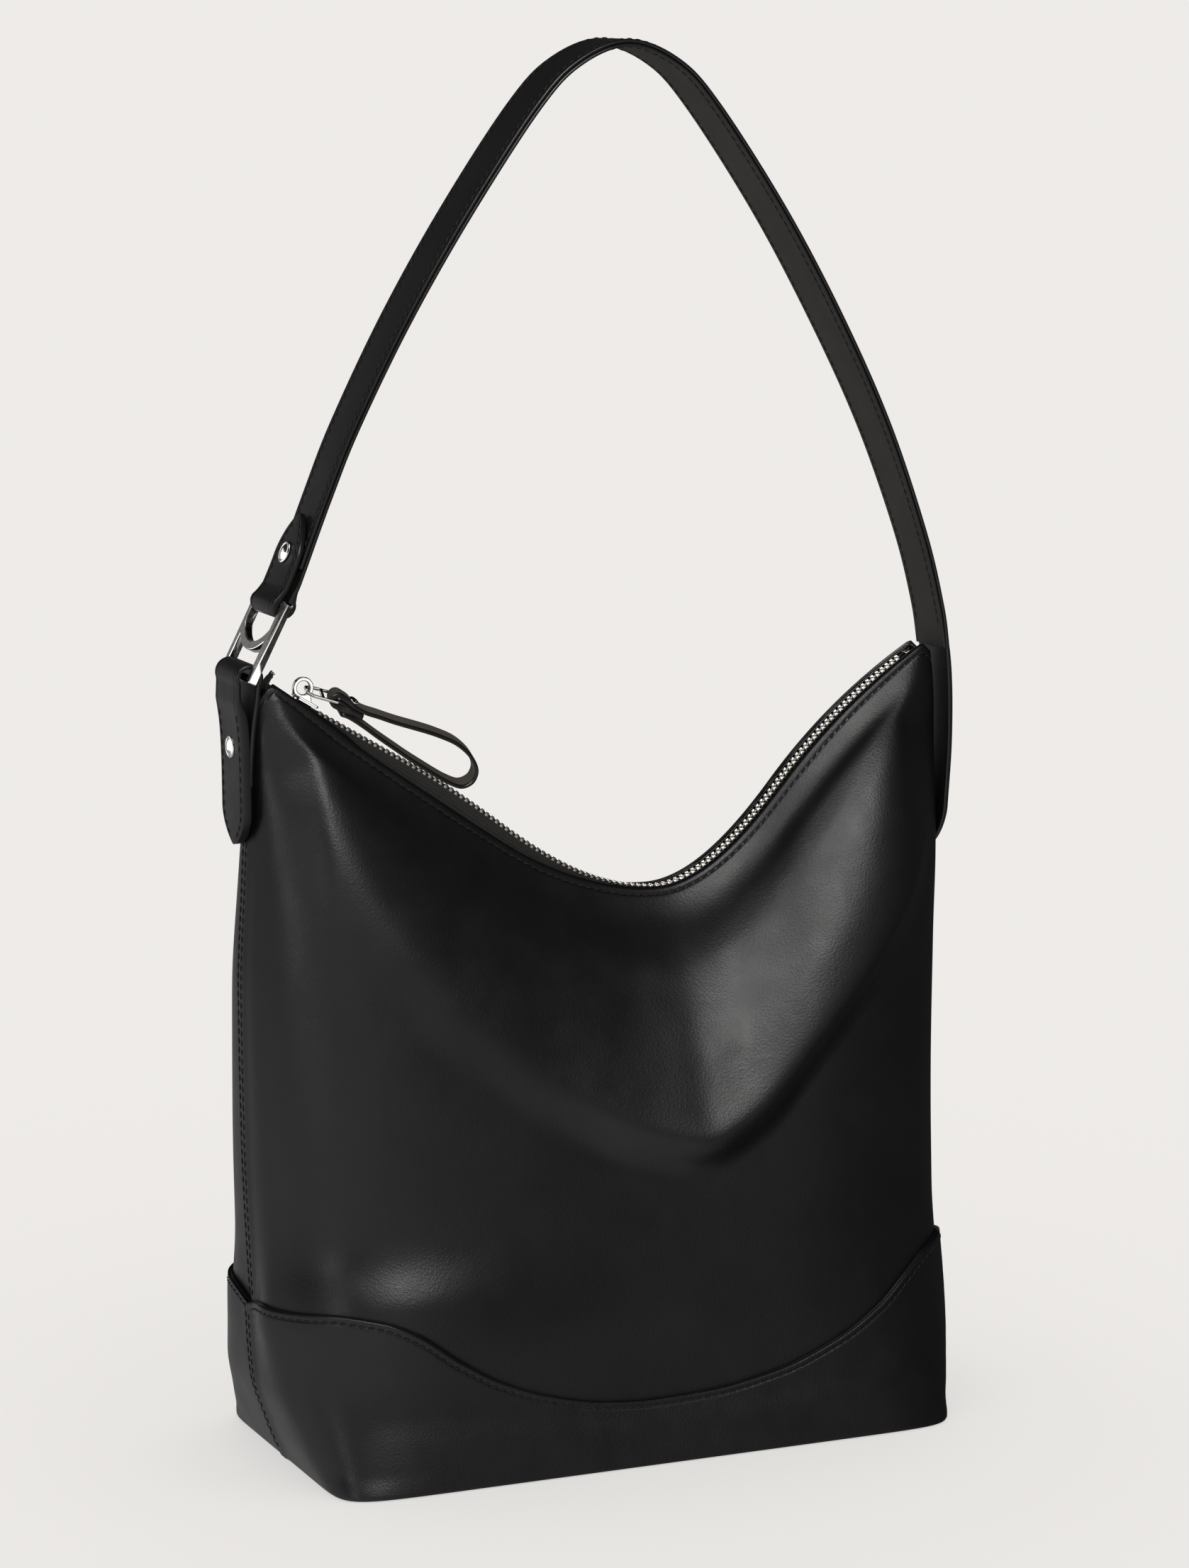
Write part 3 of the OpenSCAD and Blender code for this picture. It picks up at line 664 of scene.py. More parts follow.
def stitch_row(points, face_normals, lean=STITCH_LEAN):
    """One arched thread stitch per pitch along a line on a surface."""
    s = lengths_along(points)
    count = max(1, int(s[-1] / STITCH_PITCH))
    at = (np.arange(count) + 0.5) * s[-1] / count
    c, ahead, behind = (between(at + shift, s, points) for shift in (0, 0.5, -0.5))
    n = unit(between(at, s, face_normals))
    t = unit(ahead - behind)
    lean = math.radians(lean)
    t = math.cos(lean) * t + math.sin(lean) * unit(np.cross(n, t))
    b = unit(np.cross(n, t))
    f = np.linspace(-1, 1, STITCH_RINGS)
    radius = STITCH_RADIUS * np.sqrt(np.maximum(1 - (0.97 * f) ** 6, 0.01))
    arch = STITCH_ARCH - STITCH_DIVE * abs(f) ** 3
    around = circle(STITCH_SIDES)
    local = columns(
        np.repeat(f * STITCH_LENGTH / 2, STITCH_SIDES),
        np.outer(radius, np.cos(around)).ravel(),
        (arch[:, None] + np.outer(radius, np.sin(around))).ravel()
    )
    p = c[:, None] + local @ np.stack([t, b, n], axis=1)
    size = STITCH_RINGS * STITCH_SIDES
    ring = grid_faces(STITCH_RINGS, STITCH_SIDES, closed=True, ends=True)
    return p.reshape(-1, 3), [[q + k * size for q in f] for k in range(count) for f in ring]


def strip_stitches(parts, route, half, n, facing, keep, inset=GROOVE_INSET):
    """Stitch rows along both sides of a strip's face. facing is +1 for the face on the normal's side."""
    half = np.broadcast_to(half, route.count)
    q = route.p + np.broadcast_to(n, route.count)[:, None] * route.n
    face = facing * columns(route.n[:, 0], 0, route.n[:, 1])
    for side in (-1, 1):
        y = side * (half - inset * np.minimum(1, half / FULL_HALF_WIDTH))
        parts.sew(columns(q[:, 0], y, q[:, 1])[keep], face[keep])


# ---------------------------------------------------------------- materials
NOISE_SPAN = (0.3, 0.7)


def add_node(tree, kind, inputs=(), **settings):
    """One shader node, with its inputs linked from sockets or set to values."""
    n = tree.nodes.new("ShaderNode" + kind)
    for key, value in settings.items():
        setattr(n, key, value)
    for key, value in dict(inputs).items():
        if isinstance(value, bpy.types.NodeSocket):
            tree.links.new(value, n.inputs[key])
        else:
            n.inputs[key].default_value = value
    return n


def map_range(tree, source, *ends):
    names = ("From Min", "From Max", "To Min", "To Max")
    return add_node(tree, "MapRange", {"Value": source, **dict(zip(names, ends))}).outputs["Result"]


class Tree:
    """A material's node tree, with short calls for the nodes used here."""

    def __init__(self, name, values):
        self.material = bpy.data.materials.new(name)
        self.material.use_nodes = True
        self.tree = self.material.node_tree
        self.inputs = self.tree.nodes["Principled BSDF"].inputs
        self.coordinates = self.node("TexCoord").outputs
        for key, value in values.items():
            self.inputs[key].default_value = value

    def node(self, *what, **settings):
        return add_node(self.tree, *what, **settings)

    def link(self, source, name):
        self.tree.links.new(source, self.inputs[name])

    def noise(self, size_mm, detail):
        return self.node("TexNoise", {"Vector": self.coordinates["Object"], "Scale": 1000 / size_mm,
                                      "Detail": detail}).outputs["Fac"]

    def math(self, operation, *terms):
        return self.node("Math", dict(enumerate(terms)), operation=operation).outputs[0]

    def base(self, factor, first, second):
        """The base colour, from the first colour to the second."""
        spread = map_range(self.tree, factor, *NOISE_SPAN, 0, 1)
        mixed = self.node("Mix", {"Factor": spread, 6: (*first, 1), 7: (*second, 1)}, data_type="RGBA")
        self.link(mixed.outputs[2], "Base Color")

    def rough(self, factor, low, high):
        self.link(map_range(self.tree, factor, *NOISE_SPAN, low, high), "Roughness")

    def relief(self, height, depth_mm, strength=1.0):
        n = self.node("Bump", {"Height": height, "Strength": strength, "Distance": depth_mm * MM})
        for link in self.inputs["Normal"].links:
            self.tree.links.new(link.from_socket, n.inputs["Normal"])
        self.link(n.outputs["Normal"], "Normal")


def mottled(name, tone, colours, wear, rough, relief, specular=0.5, metallic=0.0):
    """A material whose colour, roughness and relief each follow a noise of (size, detail)."""
    t = Tree(name, {"Specular IOR Level": specular, "Metallic": metallic})
    t.base(t.noise(*tone), *colours)
    t.rough(t.noise(*wear), *rough)
    t.relief(t.noise(*relief[:2]), *relief[2:])
    return t


# Tone and wear as (size, detail), unevenness as (size, detail, depth, strength), and the pores
LEATHER_TONE, LEATHER_WEAR, UNEVEN = (38, 3), (14, 4), (9, 3, 0.10, 0.5)
PORE_SIZE, PORE_STRENGTH = 0.85, 0.6


def leather(name, dark, light, low_rough, high_rough, grain=0.05, specular=0.5):
    t = mottled(name, LEATHER_TONE, (dark, light), LEATHER_WEAR, (low_rough, high_rough), UNEVEN,
                specular)
    cells = t.node("TexVoronoi", {"Vector": t.coordinates["Object"], "Scale": 1000 / PORE_SIZE},
                   feature="SMOOTH_F1").outputs["Distance"]
    t.relief(t.math("ADD", cells, t.math("MULTIPLY", t.noise(0.5, 2), 0.4)), grain, PORE_STRENGTH)
    return t.material


BODY_LEATHER = leather(
    "body_leather", (0.0028, 0.0028, 0.0032), (0.0042, 0.0041, 0.0046), 0.33, 0.39, 0.08)
STRAP_LEATHER = leather("strap_leather", (0.0036, 0.0036, 0.0039), (0.0056, 0.0055, 0.0056), 0.36, 0.45)
STRAP_INNER = leather(
    "strap_inner_face", (0.017, 0.0160, 0.0138), (0.022, 0.0208, 0.0182), 0.62, 0.72, 0.08, 0.35)
PULL_LEATHER = leather("pull_leather", (0.035, 0.031, 0.026), (0.052, 0.046, 0.038), 0.42, 0.52, 0.04)
PAINTED_EDGE = leather("painted_edge", (0.004, 0.004, 0.0042), (0.006, 0.006, 0.006), 0.22, 0.32, 0.01)
THREAD = mottled("thread", (1.2, 2), ((0.004, 0.004, 0.0045), (0.012, 0.0115, 0.011)),
                 (0.8, 2), (0.5, 0.68), (0.3, 2, 0.05), 0.3).material
BOARD = mottled("board", (1.5, 4), ((0.30, 0.23, 0.15), (0.40, 0.31, 0.21)),
                (3, 3), (0.75, 0.9), (0.6, 3, 0.05), 0.3).material


def woven(name, dark, light, pitch_mm, column_mm, depth_mm):
    """A herringbone weave laid out by UV, whose units are millimetres along and across."""
    t = Tree(name, {"Specular IOR Level": 0.4})
    along, across = t.node("SeparateXYZ", {"Vector": t.coordinates["UV"]}).outputs[:2]
    zigzag = t.math("ADD", along, t.math("PINGPONG", across, column_mm))
    wave = t.math("SINE", t.math("MULTIPLY", zigzag, FULL_TURN / pitch_mm))
    rib = t.math("MULTIPLY_ADD", wave, 0.5, 0.5)
    t.base(t.math("MULTIPLY_ADD", rib, 0.4), dark, light)
    t.rough(t.noise(2, 2), 0.6, 0.75)
    t.relief(rib, depth_mm)
    return t.material


def metal_finish(name, colour, low_rough, high_rough, size_mm=6):
    return mottled(name, (size_mm, 2), (tuple(0.96 * c for c in colour), colour), (size_mm / 2, 4),
                   (low_rough, high_rough), (0.4, 2, 0.004, 0.4), metallic=1.0).material


ZIP_TAPE = woven("zip_tape", (0.0035, 0.0034, 0.0034), (0.013, 0.0125, 0.012), 0.95, 0.85, 0.16)
LINING = woven("lining_cloth", (0.028, 0.026, 0.024), (0.05, 0.047, 0.044), 0.9, 0.45, 0.08)
NICKEL = metal_finish("polished_nickel", (0.80, 0.79, 0.77), 0.10, 0.17)
TOOTH_METAL = metal_finish("tooth_metal", (0.74, 0.71, 0.66), 0.20, 0.28, 3)


# ---------------------------------------------------------------- body leather
RIM = LEATHER / 2
RIM_TURN = np.radians([90, 68, 45, 22, 0])
RIM_ROWS = len(RIM_TURN)
EDGE_DROPS = np.array([1.3, 1.8, 2.2, 2.5, 2.75, 3.0, 3.25, 3.5, 3.8, 4.3, 5.2, 6.5])
STITCH_DROP = 3.0
GROOVE_DEPTH, GROOVE_WIDTH = 0.28, 0.55
PANEL_ROWS, BAND_ROWS = 96, 34
# Rows of the bands' rounded lower edge, by their height over it, and how it turns inwards
FOOT_ROWS = np.array([2.6, 2.0, 1.5, 1.05, 0.7, 0.4, 0.2, 0.07, 0]) / MOUTH_END_HEIGHT
FOOT_ROUND_HEIGHT, FOOT_ROUND_DEPTH = 2.0, 1.5
BAND_FOOT = 0.2
# Beside a side seam: the line of its stitches and their groove, the rounding of the edge, the front's
# lap over the back, which fades out between two distances, and how high the thread lies
SEAM_STITCH, SEAM_GROOVE, SEAM_GROOVE_WIDTH = 2.6, 0.2, 0.5
SEAM_ROUND, SEAM_LAP, LAP_END = 0.9, 0.7, (3.4, 8)
SEAM_THREAD = {-1: 0.55, 1: -0.12}
# How far the halves' edges keep from the seam's plane, and a distance that no groove reaches
HALVES_APART, FAR_AWAY = 0.03, 99


def seam_profile(distance, side):
    """How far a panel's face stands off the body beside a side seam. The front laps over the back."""
    round_off = np.minimum(distance / SEAM_ROUND - 1, 0)
    lap = SEAM_LAP * (1 - ramp(*LAP_END, distance)) if side < 0 else 0.0
    groove = SEAM_GROOVE * bump(distance, SEAM_STITCH, SEAM_GROOVE_WIDTH)
    return lap - SEAM_ROUND * (1 - np.sqrt(1 - round_off**2)) - groove


def half_shell(name, side, top_height, low, grow, steps, foot, node):
    """One half of the body's leather: a closed sheet, rolled over its top edge."""
    drops = join(RIM - RIM * np.sin(RIM_TURN[::-1]), EDGE_DROPS)
    fine = drop_below(side, top_height, drops)
    f = np.linspace(0, 1, steps + 1)[1:, None]
    below = low + (FOOT_ROWS[0] if foot else 0)
    v = join(fine, fine[-1] + (below - fine[-1]) * f)
    if foot:
        v = join(v, low + FOOT_ROWS[1:, None])
    a = column_angles(side, v)
    rest = np.zeros(len(v) - len(drops))
    groove = -GROOVE_DEPTH * bump(join(drops, rest + FAR_AWAY), STITCH_DROP, GROOVE_WIDTH)
    roll = join(RIM * np.cos(RIM_TURN) - RIM, np.zeros(len(v) - RIM_ROWS))
    outer_grow = grow + seam_profile(abs(bare(v, a)[..., 1]), side) + groove[:, None] + roll[:, None]
    if foot:
        height = v * MOUTH_END_HEIGHT
        turn = np.clip(1 - (height - height[-1:]) / FOOT_ROUND_HEIGHT, 0, 1)
        outer_grow = outer_grow - FOOT_ROUND_DEPTH * (1 - np.sqrt(1 - turn**2))
    inner_grow = np.broadcast_to((grow - LEATHER - roll)[:, None], v.shape)
    base, n = skin(side, v, a, 0)
    grids = [base + g[..., None] * n for g in (outer_grow, inner_grow)]
    # The halves meet in the plane of the side seams
    for grid in grids:
        grid[..., 1] = side * np.maximum(side * grid[..., 1], HALVES_APART)
    rows, cols = v.shape
    inner = rows * cols
    faces = grid_faces(rows, cols) + grid_faces(rows, cols, start=inner)
    for first, last, step in ((0, cols - 1, 1), (inner - cols, inner - 1, 1), (0, inner - cols, cols),
                              (cols - 1, inner - 1, cols)):
        faces += [[k, k + step, inner + k + step, inner + k] for k in range(first, last, step)]
    shell = build(name, np.concatenate([grid.reshape(-1, 3) for grid in grids]), faces, [BODY_LEATHER])
    claim(outward(shell), "bag", "body_leather", [node])


def band_low(side):
    v = np.full(COLUMN_COUNT, 0.01)
    for _ in range(3):
        v = BAND_FOOT / mouth_top(column_angles(side, v))
    return v


def seam_line(side, left, low, high, grow):
    """A line down a panel beside a side seam, with its normals."""
    v = np.linspace(low, high, 160)
    a = seam_angle(side, left, np.arctan(SEAM_STITCH / table(DEPTH, v)))
    return skin(side, v, a, grow)


def edge_line(side, top_height, grow, skip=7):
    """The line of the stitches along a leather edge, short of both side seams."""
    v = drop_below(side, top_height, [STITCH_DROP])[0]
    p, n = skin(side, v, column_angles(side, v), grow)
    return p[skip:-skip], n[skip:-skip]


for side, word in ((-1, "front"), (1, "back")):
    half_shell(f"{word}_panel_leather", side, LIP_TOP[side], drop_below(side, band_top, BAND_OVERLAP), 0.0,
               PANEL_ROWS, False, f"{word}_panel")
    half_shell(f"{word}_band_leather", side, band_top, band_low(side), BAND_COVER, BAND_ROWS, True,
               f"{word}_base_band")
    sewing = Parts()
    sewing.sew(*edge_line(side, LIP_TOP[side], -STITCH_SINK))
    sewing.sew(*edge_line(side, band_top, BAND_COVER - STITCH_SINK))
    lap = SEAM_THREAD[side]
    for left in (True, False):
        seam = np.array(math.pi if left else 0.0)
        joint = float(band_top(seam) / mouth_top(seam))
        sewing.sew(*seam_line(side, left, joint + 0.008, 0.975, lap), lean=0)
        sewing.sew(*seam_line(side, left, 0.015, joint - 0.012, BAND_COVER + lap), lean=0)
    sewing.build(f"{word}_stitching", [THREAD], "bag")


def foot_outline(grow, count=360):
    a = np.linspace(0, FULL_TURN, count, endpoint=False)
    p = bare(np.full(count, 0.004), a)[:, :2]
    t = unit(np.roll(p, -1, axis=0) - np.roll(p, 1, axis=0))
    return p + grow * columns(t[:, 1], -t[:, 0])


BOTTOM_THICKNESS = 2.3
bottom = Parts()
bottom_points, bottom_faces = plate([foot_outline(BAND_GAP - 0.2)], BOTTOM_THICKNESS, 0.8)
bottom.add(bottom_points + [0, 0, BOTTOM_THICKNESS / 2], bottom_faces)
bottom.build("bottom_panel_leather", [BODY_LEATHER], "bag", "body_leather", ["bottom_panel"])

board = frame["nodes"]["base_board"]
board.data.materials.clear()
board.data.materials.append(BOARD)

# Lining: a pouch of thin cloth, a little inside the leather
LINING_ROWS, LINING_COLUMNS = 30, 96
LINING_INSET, LINING_THICK, LINING_FLOOR, LINING_DROP = LEATHER + 1.6, 0.6, 4.4, 14
CLOTH_PER_COLUMN, CLOTH_HEIGHT = 9.0, 330


def lining_grid(grow):
    a = np.linspace(0, FULL_TURN, LINING_COLUMNS, endpoint=False)[None, :]
    top = mouth_top(a)
    f = np.linspace(0, 1, LINING_ROWS)[:, None]
    v = (LINING_FLOOR + (top - LINING_DROP - LINING_FLOOR) * f) / top
    a = np.broadcast_to(a, v.shape)
    grid = np.where((np.sin(a) < 0)[..., None], skin(-1, v, a, grow)[0], skin(1, v, a, grow)[0])
    grid[..., 2] = np.maximum(grid[..., 2], LINING_FLOOR)
    uv = columns(np.arange(LINING_COLUMNS) * CLOTH_PER_COLUMN, v * CLOTH_HEIGHT)
    return grid, uv.reshape(-1, 2)


pouch = Parts()
outer, uv = lining_grid(-LINING_INSET)
inner, _ = lining_grid(-LINING_INSET - LINING_THICK)
inner[0, :, 2] += LINING_THICK
count = LINING_ROWS * LINING_COLUMNS
faces = [f for start in (0, count)
         for f in grid_faces(LINING_ROWS, LINING_COLUMNS, closed=True, start=start)]
rim = list(range(count - LINING_COLUMNS, count))
faces += [[j, k, count + k, count + j] for j, k in zip(rim, rim[1:] + rim[:1])]
faces += [list(range(LINING_COLUMNS)), list(range(count, count + LINING_COLUMNS))]
pouch.add(join(outer.reshape(-1, 3), inner.reshape(-1, 3)), faces, uvs=join(uv, uv))
pouch.build("lining_pouch", [LINING], "bag", "lining", ["lining"])

# ---------------------------------------------------------------- zip
ZIP_DROP, ZIP_INSET, TAPE_THICKNESS = 1.6, 3.0, 0.5
TAPE_INNER, TAPE_OUTER, TAPE_STEPS, TAPE_TUCK, TAPE_LEAST_DROP = 1.8, 4.1, 9, 3.6, 1.2
CORD_RADIUS, CORD_SIDES, CORD_INSET, CORD_WEAVE = 0.6, 8, 0.1, 0.4
FACING_Y, FACING_LOW, FACING_HIGH, FACING_HALF, FACING_EDGE = 4.0, 13.5, 1.2, 0.35, 0.3
ZIP_SLOPE, LIFT_START, LIFT_HEIGHT, LIFT_BEND, LIFT_END = -0.6, -124, 3, -85, 45
TOOTH_PITCH, TEETH_START, TEETH_END, STOP_INSET = 2.9, 23.5, 6, 3.0


def zip_height(x):
    """The zip keeps straight at its left end, while the soft lips sag below it."""
    extra = ZIP_SLOPE - MOUTH_SLOPE
    straight = LIFT_HEIGHT + extra * (x - LIFT_START)
    at_bend = LIFT_HEIGHT + extra * (LIFT_BEND - LIFT_START)
    eased = hermite(LIFT_BEND, at_bend, extra, LIFT_END, 0, 0, x)
    return mouth_height(x) + np.where(x < LIFT_BEND, straight, np.where(x < LIFT_END, eased, 0))


ZIP_X = np.linspace(MOUTH_LEFT + ZIP_INSET, MOUTH_RIGHT - ZIP_INSET, 400)
ZIP = Route(columns(ZIP_X, zip_height(ZIP_X)), 1.2)
# The facings stop short of the mouth's ends
FACING_SKIP = int(len(ZIP_X) * 3 / 64)
FACING = Route(columns(ZIP_X, mouth_height(ZIP_X))[FACING_SKIP:-FACING_SKIP], 1.6)


def facing_strip(side):
    parts = Parts()
    strip(parts, FACING, FACING_HALF, -ZIP_DROP - FACING_LOW, -ZIP_DROP - TAPE_THICKNESS - FACING_HIGH,
          FACING_EDGE, edge_material=0)
    parts.points[-1][:, 1] += side * FACING_Y
    return parts


def tape_band(side):
    """Woven tape from the chain's cord down to behind the lip, with its teeth's cord along its top."""
    x = ZIP.p[:, 0]
    chain = ZIP.p - ZIP_DROP * ZIP.n
    tuck = mouth_height(x) - (lip_sag(x) if side < 0 else 0) - TAPE_TUCK
    fall = np.minimum(tuck, chain[:, 1] - TAPE_LEAST_DROP) - chain[:, 1]
    top = []
    for f in np.linspace(0, 1, TAPE_STEPS):
        # The cloth leaves the chain flat and then drops behind the lip
        y = mix(TAPE_INNER, TAPE_OUTER, math.sin(f * math.pi / 2) ** 0.9)
        top.append(columns(chain[:, 0], side * y, chain[:, 1] + fall * f**1.7))
    top = np.stack(top, axis=1)
    across = lengths_along(top[len(x) // 3])
    n = unit(np.cross(np.gradient(top, axis=0), np.gradient(top, axis=1)))
    under = top - TAPE_THICKNESS * n * np.where(n[..., 2:] > 0, 1, -1)
    parts = Parts()
    parts.tube(np.concatenate([top, under[:, ::-1]], axis=1),
               uvs=columns(ZIP.s[:, None], join(across, across[::-1])))
    around = circle(CORD_SIDES)
    y, up = TAPE_INNER + CORD_INSET + CORD_RADIUS * np.cos(around), CORD_RADIUS * np.sin(around)
    parts.tube(swept(chain, ZIP.n, columns(side * y, up)[None]),
               uvs=columns(ZIP.s[:, None], np.arange(CORD_SIDES) * CORD_WEAVE))
    return parts


def xz(p):
    return (p[0], 0, p[1])


def zip_place(s):
    """The middle of the zip's chain at a distance along it, with its direction and its normal."""
    p, t = between(s, ZIP.s, ZIP.p), unit(between(s, ZIP.s, ZIP.t))
    n = np.array([-t[1], t[0]])
    return xz(p - ZIP_DROP * n), xz(t), xz(n)


TOOTH = rounded([
    [-0.62, -0.9], [0.62, -0.9], [0.68, 0.3], [0.45, 0.8], [0.92, 1.5], [0.92, 3.0],
    [-0.92, 3.0], [-0.92, 1.5], [-0.45, 0.8], [-0.68, 0.3],
], [0.3, 0.3, 0.2, 0.2, 0.25, 0.3, 0.3, 0.25, 0.2, 0.2], 2)
tooth_points, tooth_faces = plate([TOOTH], 2.0, 0.42, 3)

for side, word in ((-1, "front"), (1, "back")):
    tape_band(side).build(f"{word}_tape_cloth", [ZIP_TAPE], "bag", "zip_tape", [f"{word}_zip_tape"])
    facing_strip(side).build(f"{word}_facing_leather", [BODY_LEATHER], "bag", "body_leather",
                             [f"{word}_facing"])
    chain = Parts()
    first = TEETH_START + (TOOTH_PITCH / 2 if side > 0 else 0)
    for k in range(int((ZIP.length - TEETH_END - TEETH_START) / TOOTH_PITCH)):
        chain.add(placed(tooth_points * [1, side, 1], *zip_place(first + k * TOOTH_PITCH)), tooth_faces)
    chain.build(f"{word}_teeth", [TOOTH_METAL], "bag", "bright_metal", [f"{word}_zip_teeth"])

stops = Parts()
stop_points, stop_faces = plate([rounded([[-1, -2.7], [1, -2.7], [1, 2.7], [-1, 2.7]], 0.4)], 2.0, 0.45)
for s in (STOP_INSET, ZIP.length - STOP_INSET):
    stops.add(placed(stop_points, *zip_place(s)), stop_faces)
stops.build("zip_stop_blocks", [NICKEL], "bag", "bright_metal", ["zip_stops"])

# The folded tail of the tapes, with a few frayed threads: y, reach and sway of each
FRAY = [
    (-2.4, 0.9, 0.3), (-1.5, 1.8, -0.2), (-0.6, 1.2, 0.4), (0.3, 2.2, 0.0), (1.2, 1.0, -0.4),
    (2.2, 1.7, 0.2),
]
tail = Parts()
tail_route = Route(spline([[-149.8, 334.6], [-148.6, 337.8], [-147.4, 339.6], [-146.4, 340.4]], 4), 0.5)
strip(tail, tail_route, 3.1 - 0.5 * ramp(3, 7, tail_route.s), -0.5, 0.5, 0.3, edge_material=0)
for y, reach, sway in FRAY:
    thread = spline([
        [-147.0, 340.0], [-146.2, 340.7 + 0.3 * reach], [-145.7 + sway, 340.8 + 0.8 * reach],
    ], 4)
    strip(tail, Route(thread, 0.4), 0.22, -0.2, 0.2, 0.19, edge_material=0)
    tail.points[-1][:, 1] += y
tail.build("tape_tail", [ZIP_TAPE], "bag", "zip_tape", ["zip_tape_end"])

# ---------------------------------------------------------------- strap
STRAP_WIDTH, STRAP_END_WIDTH, STRAP_LAYER = 32, 27, 1.7
STRAP_ROUTE = [
    [165.6, 336], [162.4, 355], [153.5, 387], [135, 435], [111.5, 482], [84, 529], [52, 574.5],
    [33, 593.5], [10.5, 601.5], [-12, 593.5], [-31, 575], [-62, 531.5], [-89, 488], [-112, 444.5],
    [-124.4, 416], [-136.3, 386],
]
ANCHOR = [[165.8, 335.4], [167, 325], [167.6, 310], [167.4, 290], [166, 268], [164.6, 246]]
UPPER_BAR, LOWER_BAR = np.array([-145.2, 371.5]), np.array([-160.4, 341.5])
RING_BAR, LEAF_THICKNESS = 1.7, 2.4
STRAP_TURN = RING_BAR + 0.45 + LEAF_THICKNESS / 2
LEAF = [[-143.8, 378], [-140.2, 386], [-137.4, 393], [-134.5, 400.5], [-131.6, 408]]
LEATHERS = [STRAP_LEATHER, PAINTED_EDGE, STRAP_INNER]
# Points at the soft ends, from the bag's side up to the strap's. Pieces given them are baked in place, not
# parented, and nothing here bends them.
RIGHT_BEND = ((0.166, 0, 0.322), (0.166, 0, 0.352))
LEFT_BEND = ((-0.162, 0, 0.318), (-0.162, 0, 0.336))
THREAD_SINK = 0.16


def strap_half(f):
    """Half the strap's width, at a share f of the way along it."""
    return mix(STRAP_END_WIDTH, STRAP_WIDTH, ramp(0, 0.3, f) * ramp(0, 0.35, 1 - f)) / 2


route_curve = spline(STRAP_ROUTE, 12)
route_length = lengths_along(route_curve)[-1]
anchor_curve = spline(ANCHOR[::-1], 8)

# The outer layer starts as the sewn leaf on the right side and runs over the shoulder
outer_route = Route(join(anchor_curve[:-1], route_curve), 1.6, fine_start=True)
past_anchor = outer_route.s - lengths_along(anchor_curve)[-1]
over = ramp(-14, 16, past_anchor)
outer_half = strap_half(np.clip(past_anchor / route_length, 0, 1)) * tip(outer_route.s)
outer_low = mix(-1.35, -STRAP_LAYER, over)
outer_layer = Parts()
strip(outer_layer, outer_route, outer_half, outer_low, mix(1.0, -0.05, over), 0.75, (0.25, 0.0))
outer_layer.build("strap_outer_leather", LEATHERS[:2], "strap", "strap_leather",
                  ["strap_outer_layer", "strap_anchor"], bend=RIGHT_BEND)

# The inner layer runs on round the ring's upper bar and back up outside as a pointed leaf
strap_path = Route(route_curve, 1.6)
turn_curve = join([[-137.8, 380]], arc(UPPER_BAR, STRAP_TURN, 14, -196, 40), spline(LEAF, 8))
inner_route = Route(join(strap_path.p + 0.85 * strap_path.n, turn_curve), 1.2, fine_end=True)
into_turn = inner_route.s - (inner_route.length - lengths_along(turn_curve)[-1])
from_tip = inner_route.length - inner_route.s
inner_half = strap_half(np.clip(1 + into_turn / route_length, 0, 1)) * tip(from_tip)
thick = mix(0.8, LEAF_THICKNESS / 2, ramp(-2, 8, into_turn))
puff = 1.35 * ramp(3, 10, into_turn) * (1 - ramp(17, 25, into_turn))
inner_layer = Parts()
strip(inner_layer, inner_route, inner_half, -thick, thick + puff, 0.8, (0.0, 0.25),
      high_material=np.where(into_turn < 2, 2, 0))
inner_layer.build("strap_inner_leather", LEATHERS, "strap", "strap_leather", ["strap_inner_layer"],
                  bend=RIGHT_BEND)

sewing = Parts()
strip_stitches(sewing, outer_route, outer_half, outer_low + THREAD_SINK, -1,
               (outer_route.s > 3.5) & (past_anchor < route_length - 3))
for keep in ((into_turn < -2) & (into_turn > 6 - route_length), (into_turn > 25) & (from_tip > 3.5)):
    strip_stitches(sewing, inner_route, inner_half, thick - THREAD_SINK, 1, keep)
sewing.build("strap_stitching", [THREAD], "strap", bend=RIGHT_BEND)

# ---------------------------------------------------------------- ring tab
TAB_INNER = [[-160.5, 296], [-160.1, 306], [-158.9, 320], [-157.2, 331]]
TAB_OUTER = [[-165.4, 331], [-164, 321], [-163.3, 308], [-163.1, 292], [-163, 280], [-162.8, 270]]
TAB_INSET = 2.6
tab_curve = join(spline(TAB_INNER, 8), arc(LOWER_BAR, 5.1, -40, 205, 48), spline(TAB_OUTER, 8))
tab_route = Route(tab_curve, 1.1, fine_end=True)
tab_tip = tab_route.length - tab_route.s
tab_half = STRAP_END_WIDTH / 2 * tip(tab_tip, 15)
# Below the loop the two legs are sewn together, so the outer one carries the thickness of both
both_legs = 2.2 * ramp(66, 54, tab_tip)
tab = Parts()
strip(tab, tab_route, tab_half, -1.15, 1.0 + both_legs, 0.95, (0.25, 0.0), inset=TAB_INSET)
tab.build("ring_tab_leather", LEATHERS[:2], "strap", "strap_leather", ["ring_tab"], bend=LEFT_BEND)

sewing = Parts()
strip_stitches(sewing, tab_route, tab_half, -1.0, -1, (tab_tip < 58) & (tab_tip > 2.6), TAB_INSET)
sewing.build("ring_tab_stitching", [THREAD], "strap", bend=LEFT_BEND)


# ---------------------------------------------------------------- metal
def metal(name, pieces, body, node):
    parts = Parts()
    for points, faces in pieces:
        parts.add(points, faces)
    obj = parts.build(name, [NICKEL], body, "bright_metal", [node])
    for polygon in obj.data.polygons:
        polygon.use_smooth = len(polygon.vertices) == 4


def at(local, origin, x_axis, z_axis):
    points, faces = local
    return placed(points, origin, x_axis, z_axis), faces


